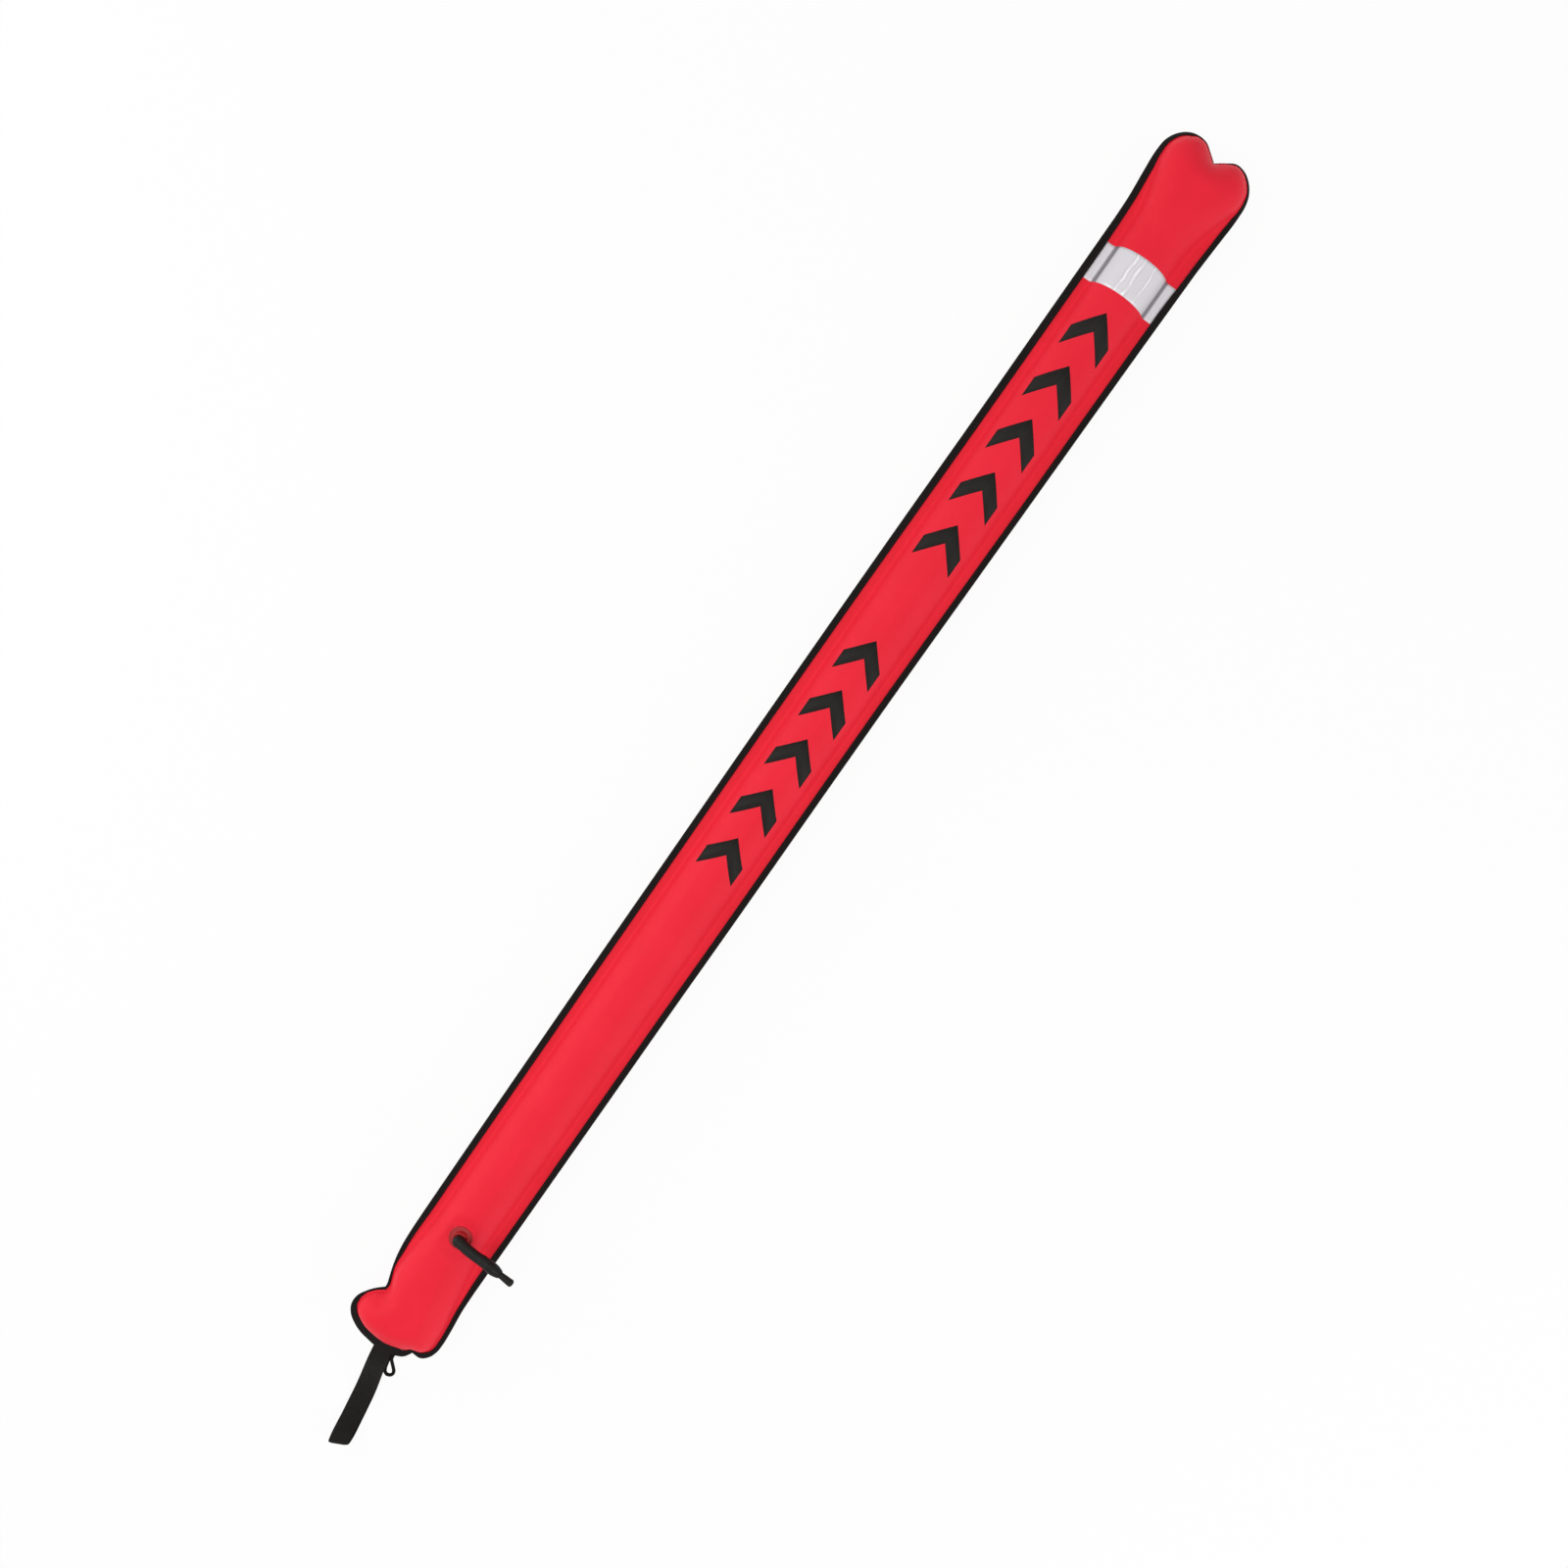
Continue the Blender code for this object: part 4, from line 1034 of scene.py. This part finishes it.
colour = srgb("#dcd8dd")
# Each crease line is a grey painted shade on both sides and a white painted highlight along it.
for middle, half in PAINTED_CREASE_LINES:
    for inner, outer, top, tone in ((1.4, 3.2, 0.35, "#b3b0b7"), (0.4, 1.5, 1.0, "#f5f3f6")):
        line = streak(across, middle + WANDER / 2, half * inner, half * outer, top)
        line = add(tree, "Math", {0: line, 1: painted_line_fade}, operation="MULTIPLY")
        colour = add(tree, "Mix", {0: line, 6: colour, 7: srgb(tone)}, data_type="RGBA")
# A grey painted shade lies in the fold at the weld, on both sides of the strip.
for fold_at in FOLD_SHADE_AT:
    fold_shade = streak(off_middle, TUBE_AT.y + fold_at, *FOLD_SHADE_REACH, 0.9)
    colour = add(tree, "Mix", {0: fold_shade, 6: colour, 7: srgb("#77727a")}, data_type="RGBA")
beads = add(tree, "TexVoronoi", {"Vector": flat, "Scale": 1 / BEAD})
bump = add(tree, "Bump", {"Height": beads, "Strength": 0.12, "Distance": 0.0002})
feed(shader, {"Base Color": colour, "Normal": bump})

band("reflective_strip_front", 1, FREE_LEVEL, "reflective_band_front")
band("reflective_strip_back", -1, REST_LEVEL + 0.00005, "reflective_band_back")
print("Band", round((BAND_END - BAND_START) * 1000), "mm wide")

# %% [markdown]
# ## Printed marks
# The front carries large black marks in two groups: plain chevrons that point to the end that
# goes up. Each is a thin film of ink. A flat chevron is cut into narrow strips, and the strips are
# lifted onto the round of the tube, so the ink bends with the cloth.

# %% Chevrons
MARK_X = (
    0.4993, 0.4428, 0.3857, 0.3281, 0.2700,
    0.1412, 0.0858, 0.0299, -0.0274, -0.0842,
)
MARK_HALF = 0.0205
MARK_LENGTH = 0.044
MARK_STROKE = 0.0200
MARK_STRIPS = 24
INK_LIFT = 0.00010
INK_THICK = 0.00008

black_ink = cloth("screen_ink_black", "#201d1a", "#171411", 0.0012, 0.2, 0.55)
prints = bmesh.new()
for x in MARK_X:
    tip = x + TUBE_AT.x + MARK_LENGTH / 2
    wing = tip - (MARK_LENGTH - MARK_STROKE)
    prints.faces.new([prints.verts.new((px, TUBE_AT.y + py, 0.0)) for px, py in (
        (tip, 0.0), (wing, MARK_HALF), (wing - MARK_STROKE, MARK_HALF),
        (tip - MARK_STROKE, 0.0), (wing - MARK_STROKE, -MARK_HALF), (wing, -MARK_HALF),
    )])
for k in range(1, MARK_STRIPS):
    y = TUBE_AT.y - MARK_HALF + 2 * MARK_HALF * k / MARK_STRIPS
    bmesh.ops.bisect_plane(
        prints, geom=[*prints.verts, *prints.edges, *prints.faces], dist=0.000001,
        plane_co=(0.0, y, 0.0), plane_no=(0.0, 1.0, 0.0),
    )
for vert in prints.verts:
    share = min(abs(vert.co.y - TUBE_AT.y) / WELD_HALF, 1.0)
    high = above_fold(BULGE * sqrt(1.0 - share ** 2) ** WALL, FOLD)
    vert.co.z = SEAM_Z + FABRIC_TOP + high + INK_LIFT
bmesh.ops.recalc_face_normals(prints, faces=prints.faces)
face_outwards(prints)
lay_flat(prints, lambda vert: vert.co.xy)
chevrons = thicken(finished("printed_chevrons", prints, black_ink), INK_THICK)
fit(chevrons, "tube")
print("Chevrons:", len(MARK_X), "with", len(chevrons.data.polygons), "faces")

# %% [markdown]
# ## Turned pieces
# The valves are moulded round parts. Each is a profile of (radius, height) points in mm, spun round
# its own axis in 64 steps and then moved to its place, so the object itself stays at the origin.
# The soft rubber hose also gets a slight bow, because it is never quite straight.

# %% Lathe
SPIN_STEPS = 64
BOW_START = 0.0040
BOW_END = 0.0310
BOW_RAMP = 0.0070
CREASED = radians(40.0)


def lathe(name, profile, placed, material, body, node, bow=0.0):
    """Spin a closed profile round local Z, bend it a little, and put it where the matrix says."""
    mesh = bmesh.new()
    hollow = profile[0][0] > 0.01
    points, edges = joined(mesh, [(r / 1000, 0.0, z / 1000) for r, z in profile], hollow)
    bmesh.ops.spin(
        mesh, geom=points + edges, cent=(0.0, 0.0, 0.0), axis=(0.0, 0.0, 1.0),
        angle=2 * pi, steps=SPIN_STEPS, use_merge=True,
    )
    bmesh.ops.remove_doubles(mesh, verts=mesh.verts, dist=0.000005)
    bmesh.ops.recalc_face_normals(mesh, faces=mesh.faces)
    for vert in mesh.verts:
        share = ease((vert.co.z - BOW_START) / BOW_RAMP) * ease((BOW_END - vert.co.z) / BOW_RAMP)
        vert.co.x -= bow * share
    bmesh.ops.transform(mesh, matrix=placed, verts=mesh.verts)
    turned = finished(name, mesh, material)
    turned.data.shade_smooth()
    turned.data.set_sharp_from_angle(angle=CREASED)
    return fit(turned, body, node)


def arc(centre, radius, start, end, steps):
    """Points of a circle in the profile's plane, from start to end in degrees."""
    turns = [radians(start + (end - start) * k / steps) for k in range(steps + 1)]
    return [(centre[0] + radius * cos(turn), centre[1] + radius * sin(turn)) for turn in turns]


# %% [markdown]
# The flange is moulded from polyurethane, because that welds to coated nylon, and it has a satin
# sheen. The hose is moulded rubber, darker and duller. The valve is acetal, which is hard and
# smooth. The moulds are spark-eroded, so all three have a fine grain and none of them is glossy.
# The grain is drawn at 0.5 to 0.8 mm, which is coarser than the real one, so that it can show.

# %% Moulded materials
MOTTLES_PER_M = 120.0


def moulded(name, light, dark, roughness, specular, grain, depth):
    """Moulded plastic or rubber: two near tones, and a fine spark-eroded grain."""
    made, tree, shader = surface(name, Roughness=roughness, Specular_IOR_Level=specular)
    place = add(tree, "TexCoord", {}).outputs["Object"]
    noise = add(tree, "TexNoise", {"Vector": place, "Scale": 1 / grain, "Detail": 4.0})
    bump = add(tree, "Bump", {"Height": noise, "Strength": depth, "Distance": 0.0002})
    slow = add(tree, "TexNoise", {"Vector": place, "Scale": MOTTLES_PER_M, "Detail": 2.0})
    tone = add(tree, "Mix", {0: slow, 6: srgb(light), 7: srgb(dark)}, data_type="RGBA")
    feed(shader, {"Base Color": tone, "Normal": bump})
    return made


red_urethane = moulded("moulded_urethane_dark_red", "#ae1d22", "#9a181d", 0.45, 0.35, 0.0008, 0.15)
black_rubber = moulded("moulded_rubber_black", "#151412", "#0e0d0c", 0.45, 0.2, 0.0005, 0.2)
black_acetal = moulded("moulded_acetal_black", "#110f0e", "#0c0b0a", 0.42, 0.2, 0.0006, 0.1)
print("Moulded:", red_urethane.name, black_rubber.name, black_acetal.name)

# %% [markdown]
# ## Oral inflator
# A dark red flange is welded to the front. Its cup holds the round end of a rubber hose, and is
# open on the side where the hose lies down. At the hose's end a valve body takes a mouthpiece,
# which the diver bites and pushes in to open the valve.

# %% Inflator flange
KNUCKLE = 5.8
CLEAR = 0.3
CUP = KNUCKLE + CLEAR
CUP_CUT = 3.0
cup_middle = PIVOT_RISE * 1000
cup_rim = cup_middle - CUP_CUT
rim_radius = sqrt(CUP ** 2 - CUP_CUT ** 2)
inflator_flange = lathe("weld_flange", [
    (rim_radius, cup_rim), (rim_radius + 0.4, cup_rim + 0.2), (7.0, cup_rim + 0.2),
    *arc((7.0, cup_rim - 0.3), 0.5, 75.0, 0.0, 4), (7.9, 3.0), (8.2, 2.0), (8.7, 1.6),
    (9.5, 1.4), (11.0, 1.3), (11.7, 1.15), (12.0, 0.8), (12.0, CLEAR), (4.0, CLEAR),
    (4.0, -3.0), (2.2, -3.0),
    *arc((0.0, cup_middle), CUP, -69.9, degrees(atan2(-CUP_CUT, rim_radius)), 12),
], Matrix.Translation(PIVOT - Vector((0.0, 0.0, PIVOT_RISE))), red_urethane,
    "tube", "inflator_flange")

# %% [markdown]
# The cup's open side is a plain slot as wide as the hose. A boolean cut with a box makes it, and
# the result replaces the mesh, so nothing of the box is left.

# %% Slot in the cup
HOSE_RADIUS = 5.7
SLOT_DEEP = 10.0
HOSE_TURN = radians(2.4)
hose_turned = Matrix.Translation(PIVOT) @ Matrix.Rotation(HOSE_TURN, 4, "Z")

slot_half = HOSE_RADIUS + CLEAR
slot_low = Vector((-slot_half, -SLOT_DEEP, -KNUCKLE - 0.2)) / 1000
slot_size = Vector((2 * slot_half, SLOT_DEEP, SLOT_DEEP)) / 1000
boxed = Matrix.Translation(slot_low + slot_size / 2) @ Matrix.Diagonal((*slot_size, 1.0))
block = bmesh.new()
bmesh.ops.create_cube(block, size=1.0, matrix=hose_turned @ boxed)
cutter = finished("slot", block)
step = inflator_flange.modifiers.new("slot", "BOOLEAN")
step.operation = "DIFFERENCE"
step.solver = "EXACT"
step.object = cutter
cut = inflator_flange.evaluated_get(bpy.context.evaluated_depsgraph_get())
cut = bpy.data.meshes.new_from_object(cut)
inflator_flange.modifiers.remove(step)
inflator_flange.data = cut
bpy.data.objects.remove(cutter)
print("Flange", len(cut.polygons), "faces")

# %% [markdown]
# The hose is thickest at its knuckle and thins a little towards the valve. The valve body swells
# gently, has three grooves for the fingers, and draws in to a shoulder, out of which the nozzle
# comes. The nozzle's tip is a round bead, so that teeth can hold it. Each profile runs from the
# hinge outwards, along local Z.

# %% Hose, valve body and mouthpiece
HOSE_RISE = radians(12.0)
HOSE_END = 39.0
HOSE_BOW = 0.0007
VALVE_LOW = HOSE_END + CLEAR
VALVE_HIGH = 52.7
VALVE_GROOVES = (0.34, 0.22, 0.10)
MOUTH_RADIUS = 3.3
MOUTH_BORE = 2.1
MOUTH_TIP = 68.2
hose_place = hose_turned @ Matrix.Rotation(pi / 2 - HOSE_RISE, 4, "X")

lathe("rubber_hose", [
    (0.0, 0.0), (2.2, 0.6), (3.2, 3.0), (3.2, HOSE_END),
    *arc((5.3, HOSE_END - 0.4), 0.4, 90.0, 0.0, 4), (5.7, 34.0), (5.7, 29.5), (5.55, 28.5),
    (5.4, 27.0), (5.3, 23.0), (5.4, 18.0), (5.5, 14.0), (5.4, 10.0), (5.5, 5.0),
    *arc((0.0, 0.0), KNUCKLE, 22.0, -90.0, 20),
], hose_place, black_rubber, "hose", "inflator_hose", bow=HOSE_BOW)

grooves = []
for share in VALVE_GROOVES:
    middle = VALVE_LOW + (VALVE_HIGH - VALVE_LOW) * share
    grooves += [(6.2, middle + 0.6), (5.9, middle + 0.3), (5.9, middle - 0.3), (6.2, middle - 0.6)]
lathe("valve_housing", [
    (MOUTH_RADIUS + CLEAR, VALVE_HIGH - 0.4), (MOUTH_RADIUS + 0.6, VALVE_HIGH),
    (4.3, VALVE_HIGH - 0.6), (5.1, VALVE_HIGH - 3.0), (5.7, VALVE_HIGH - 5.5),
    (6.1, VALVE_HIGH - 8.0), *grooves, (6.2, VALVE_LOW + 0.5), (5.8, VALVE_LOW),
    (2.9, VALVE_LOW), (2.9, 30.5), (2.6, 30.0), (1.8, 30.0), (1.8, 41.0), (4.4, 41.0),
    (4.4, 50.0), (MOUTH_RADIUS + CLEAR, 50.0),
], hose_place, black_acetal, "hose", "valve_body")
lathe("bite_nozzle", [
    (MOUTH_BORE, MOUTH_TIP - 0.9), *arc((1.3, MOUTH_TIP - 2.6), 2.6, 72.0, -20.0, 14),
    (3.7, MOUTH_TIP - 4.8), (3.6, MOUTH_TIP - 7.5), (3.5, MOUTH_TIP - 10.0),
    (MOUTH_RADIUS, MOUTH_TIP - 12.0), (MOUTH_RADIUS, 49.6), (4.1, 49.6), (4.1, 47.6),
    (MOUTH_BORE, 47.6),
], hose_place, black_acetal, "mouth_valve", "mouthpiece")
print("Inflator", round(MOUTH_TIP + KNUCKLE), "mm from knuckle to tip")

# %% [markdown]
# ## Relief valve
# The back carries a wider flange with a vented cap. It lets air out when the buoy rises and the
# air in it swells. It faces the floor, so its axis points down. The cap, the disc and the seals
# come from the CAD frame and get their materials here.

# %% Relief valve
RELIEF_RADIUS = 19.0
relief_place = Matrix.Translation(RELIEF_AT) @ Matrix.Rotation(pi, 4, "X")
lathe("relief_weld_flange", [
    (9.9, 1.5), (12.8, 1.5), *arc((13.0, 1.0), 0.5, 90.0, 10.0, 4), (14.0, 1.1), (18.0, 0.85),
    (18.8, 0.7), (RELIEF_RADIUS, 0.4), (RELIEF_RADIUS, CLEAR), (11.0, CLEAR), (11.0, -6.0),
    (9.9, -6.0),
], relief_place, red_urethane, "tube", "relief_flange")
for material, nodes in (
    (black_acetal, ("relief_cap", "relief_body", "relief_poppet", "valve_stem")),
    (black_rubber, ("relief_seal", "valve_seal")),
):
    for node in nodes:
        frame["nodes"][node].data.materials.clear()
        frame["nodes"][node].data.materials.append(material)
print("Relief valve", round(2 * RELIEF_RADIUS), "mm over its flange")

# %% [markdown]
# Each valve has a small spring of drawn stainless wire, which is bright, with fine streaks. It is
# closed up when its valve opens. A copy of the CAD spring takes its place, and its length along the
# valve's slide is printed. The CAD mesh is loose triangles, so the copy's corners are merged
# first, and then its wire can look round.

# %% Springs
SAME_CORNER = 0.000002
SHARP_EDGE = radians(50.0)
STREAKS_PER_M = 900.0

spring_steel, tree, shader = surface(
    "drawn_stainless_wire", Roughness=0.28, Metallic=1.0, Base_Color=srgb("#b9b9b7")
)
place = add(tree, "TexCoord", {}).outputs["Object"]
streaks = add(tree, "TexNoise", {"Vector": place, "Scale": STREAKS_PER_M, "Detail": 2.0})
bump = add(tree, "Bump", {"Height": streaks, "Strength": 0.1, "Distance": 0.0001})
feed(shader, {"Normal": bump})

for node, body, joint_name in (
    ("valve_spring", "hose", "mouthpiece_push"), ("relief_spring", "tube", "relief_open"),
):
    joint = next(j for j in frame["joints"] if j["name"] == joint_name)
    slide = Vector(joint["axis"]).normalized()
    coil = frame["nodes"][node].copy()
    coil.data = coil.data.copy()
    coil.name = node + "_wire"
    bpy.context.scene.collection.objects.link(coil)
    wire = bmesh.new()
    wire.from_mesh(coil.data)
    bmesh.ops.remove_doubles(wire, verts=wire.verts, dist=SAME_CORNER)
    wire.to_mesh(coil.data)
    wire.free()
    coil.data.shade_smooth()
    coil.data.set_sharp_from_angle(angle=SHARP_EDGE)
    coil.data.materials.clear()
    coil.data.materials.append(spring_steel)
    depths = [slide.dot(vert.co) for vert in coil.data.vertices]
    length = max(depths) - min(depths)
    fit(coil, body, node)
    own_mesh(coil)
    print(coil.name, round(length * 1000, 1), "mm long,", len(coil.data.polygons), "faces")

# %% [markdown]
# ## Webbing
# One piece of 20 mm webbing leaves the foot seam, lies down on the floor, turns back in an open
# eye and runs back on itself to the seam. So it is one ribbon swept along a path. Its edges are
# rounded selvedges, and the ribbon's UV runs along its length for the weave.

# %% Path of the webbing
STRAP_ROOT = Vector((-0.7045 + TUBE_AT.x, -0.0029 + TUBE_AT.y, SEAM_Z))
STRAP_TURN = radians(180.0 + 8.4)
STRAP_RUN = 0.1235
STRAP_FALL = 0.068
STRAP_FLOOR = -SEAM_Z + 0.0002
WEB = 0.0013
LAYERS = 0.0028
INSIDE_SEAM = -0.0060
EYE_START = 0.088
EYE_RISE = 0.022
EYE_HEIGHT = 0.0094

strap_ahead = Vector((cos(STRAP_TURN), sin(STRAP_TURN), 0.0))
strap_side = Vector((-strap_ahead.y, strap_ahead.x, 0.0))


def strap_place(run, across, rise):
    """A place by its run along the webbing, across it, and its rise over the seam's height."""
    root = STRAP_ROOT + Vector((0.0, 0.0, rise))
    return root + strap_ahead * run + strap_side * across


def strap_middle(run):
    """Rise of the middle of both layers, which falls from the seam to the floor."""
    return (STRAP_FLOOR + LAYERS / 2) * ease(run / STRAP_FALL)


def strap_path():
    """The middle of one layer: out along the floor, round the eye, and back on top."""
    bend_at = STRAP_RUN - EYE_HEIGHT / 2
    runs = [INSIDE_SEAM + 0.002 * k for k in range(47)]
    path = [(run, strap_middle(run) - LAYERS / 4) for run in runs]
    low = STRAP_FLOOR + WEB / 2 + 0.00005
    path += [(run, low) for run in (EYE_START, 0.096, 0.104, 0.112, bend_at)]
    eye_middle = (bend_at, STRAP_FLOOR + EYE_HEIGHT / 2)
    path += arc(eye_middle, (EYE_HEIGHT - WEB) / 2, -80.0, 80.0, 16)
    path.append((bend_at, STRAP_FLOOR + EYE_HEIGHT - WEB / 2))
    for k in range(1, 19):
        run = bend_at - (bend_at - EYE_START) * k / 18
        top = LAYERS + (EYE_HEIGHT - LAYERS) * ease((run - EYE_START) / EYE_RISE)
        path.append((run, STRAP_FLOOR + top - WEB / 2))
    path += [(run, strap_middle(run) + LAYERS / 4) for run in runs[::-1]]
    return [Vector(place) for place in path]


path = strap_path()
ribbon_length = run_length(path)
print("Webbing", round(ribbon_length * 1000), "mm of ribbon")

# %% [markdown]
# Polypropylene webbing is woven from thick yarns in a broken twill, so it has ribs about 1.6 mm
# apart across its width. It is near black and has almost no gloss. Its two layers lie a little
# beside each other and cross over in the eye, and the fold at the end is slightly skew.

# %% Webbing ribbon
STRAP_HALF = 0.0100
SELVEDGE = 0.0006
LAYER_SHIFT = 0.0010
SHIFT_RUN = 0.100
CROSSING = 0.030
FOLD_SKEW = -0.0035
FOLD_CORNER = 0.0012
CORNER_ROUND = 0.0030


def layer_shift(along):
    """How far a layer lies off the middle at a length along the ribbon."""
    crossing = 1.0 - 2.0 * ease((along - ribbon_length / 2) / CROSSING + 0.5)
    return LAYER_SHIFT * crossing * ease(min(along, ribbon_length - along) / SHIFT_RUN)


def fold_back(run, across):
    """How much further the skew fold reaches at a place near the end."""
    corner = max(abs(across) - (STRAP_HALF - CORNER_ROUND), 0.0) / CORNER_ROUND
    skew = FOLD_SKEW * (across / STRAP_HALF) - FOLD_CORNER * corner ** 2
    return skew * ease((run - EYE_START) / (STRAP_RUN - EYE_START))


selvedge = [
    (STRAP_HALF - SELVEDGE + SELVEDGE * sin(turn), WEB / 2 * cos(turn))
    for turn in [pi * k / 6 for k in range(7)]
]
inner = [STRAP_HALF * share for share in (0.6, 0.2, -0.2, -0.6)]
section = selvedge + [(y, -WEB / 2) for y in inner]
section += [(-y, z) for y, z in selvedge[::-1]] + [(-y, WEB / 2) for y in inner]

rings = []
along = [0.0, *accumulate((b - a).length for a, b in zip(path, path[1:]))]
for before, middle, after, length in zip(path[:1] + path, path, path[1:] + path[-1:], along):
    tangent = (after - before).normalized()
    normal = Vector((-tangent.y, tangent.x))
    ring = []
    for y, z in section:
        flat = middle + normal * z
        ring.append(strap_place(flat.x + fold_back(flat.x, y), y + layer_shift(length), flat.y))
    rings.append(ring)
flats = [[(length, y) for y, _ in section] for length in along]
mesh = sweep(rings, flats, capped=True)
bmesh.ops.recalc_face_normals(mesh, faces=mesh.faces)
black_webbing = cloth("polypropylene_webbing_black", "#1a1714", "#0d0b0a", 0.0016, 0.8, 0.75)
strap = finished("webbing_ribbon", mesh, black_webbing)
strap.data.set_sharp_from_angle(angle=SHARP_EDGE)
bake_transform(strap)
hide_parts("webbing_strap")
print("Ribbon", len(strap.data.polygons), "faces")

# %% [markdown]
# The two layers are sewn together twice, at the seam and before the eye. Each sewing is a box with
# a cross in it, as on every strap that takes a load.

# %% Webbing stitches
SEWN = ((0.012, 0.036), (0.060, 0.084))
SEWN_HALF = 0.0072
SEWN_STEPS = 12
SEWN_DIP = 0.0006

rows = []
for start, stop in SEWN:
    corners = [(start, -1), (stop, -1), (stop, 1), (start, 1)]
    corners += [(start, -1), (stop, 1), (stop, -1), (start, 1)]
    for (run0, way0), (run1, way1) in zip(corners, corners[1:]):
        line = []
        for k in range(SEWN_STEPS + 1):
            run = run0 + (run1 - run0) * k / SEWN_STEPS
            across = SEWN_HALF * (way0 + (way1 - way0) * k / SEWN_STEPS)
            line.append(strap_place(run, across, strap_middle(run) + LAYERS / 2))
        rows.append(dip(even(line, STITCH / 4), SEWN_DIP))
strap_stitches = thread("webbing_stitches", rows, THREAD_RADIUS, thread_black, sides=0)
fit(strap_stitches, "strap")
print(len(rows), "rows of stitches")
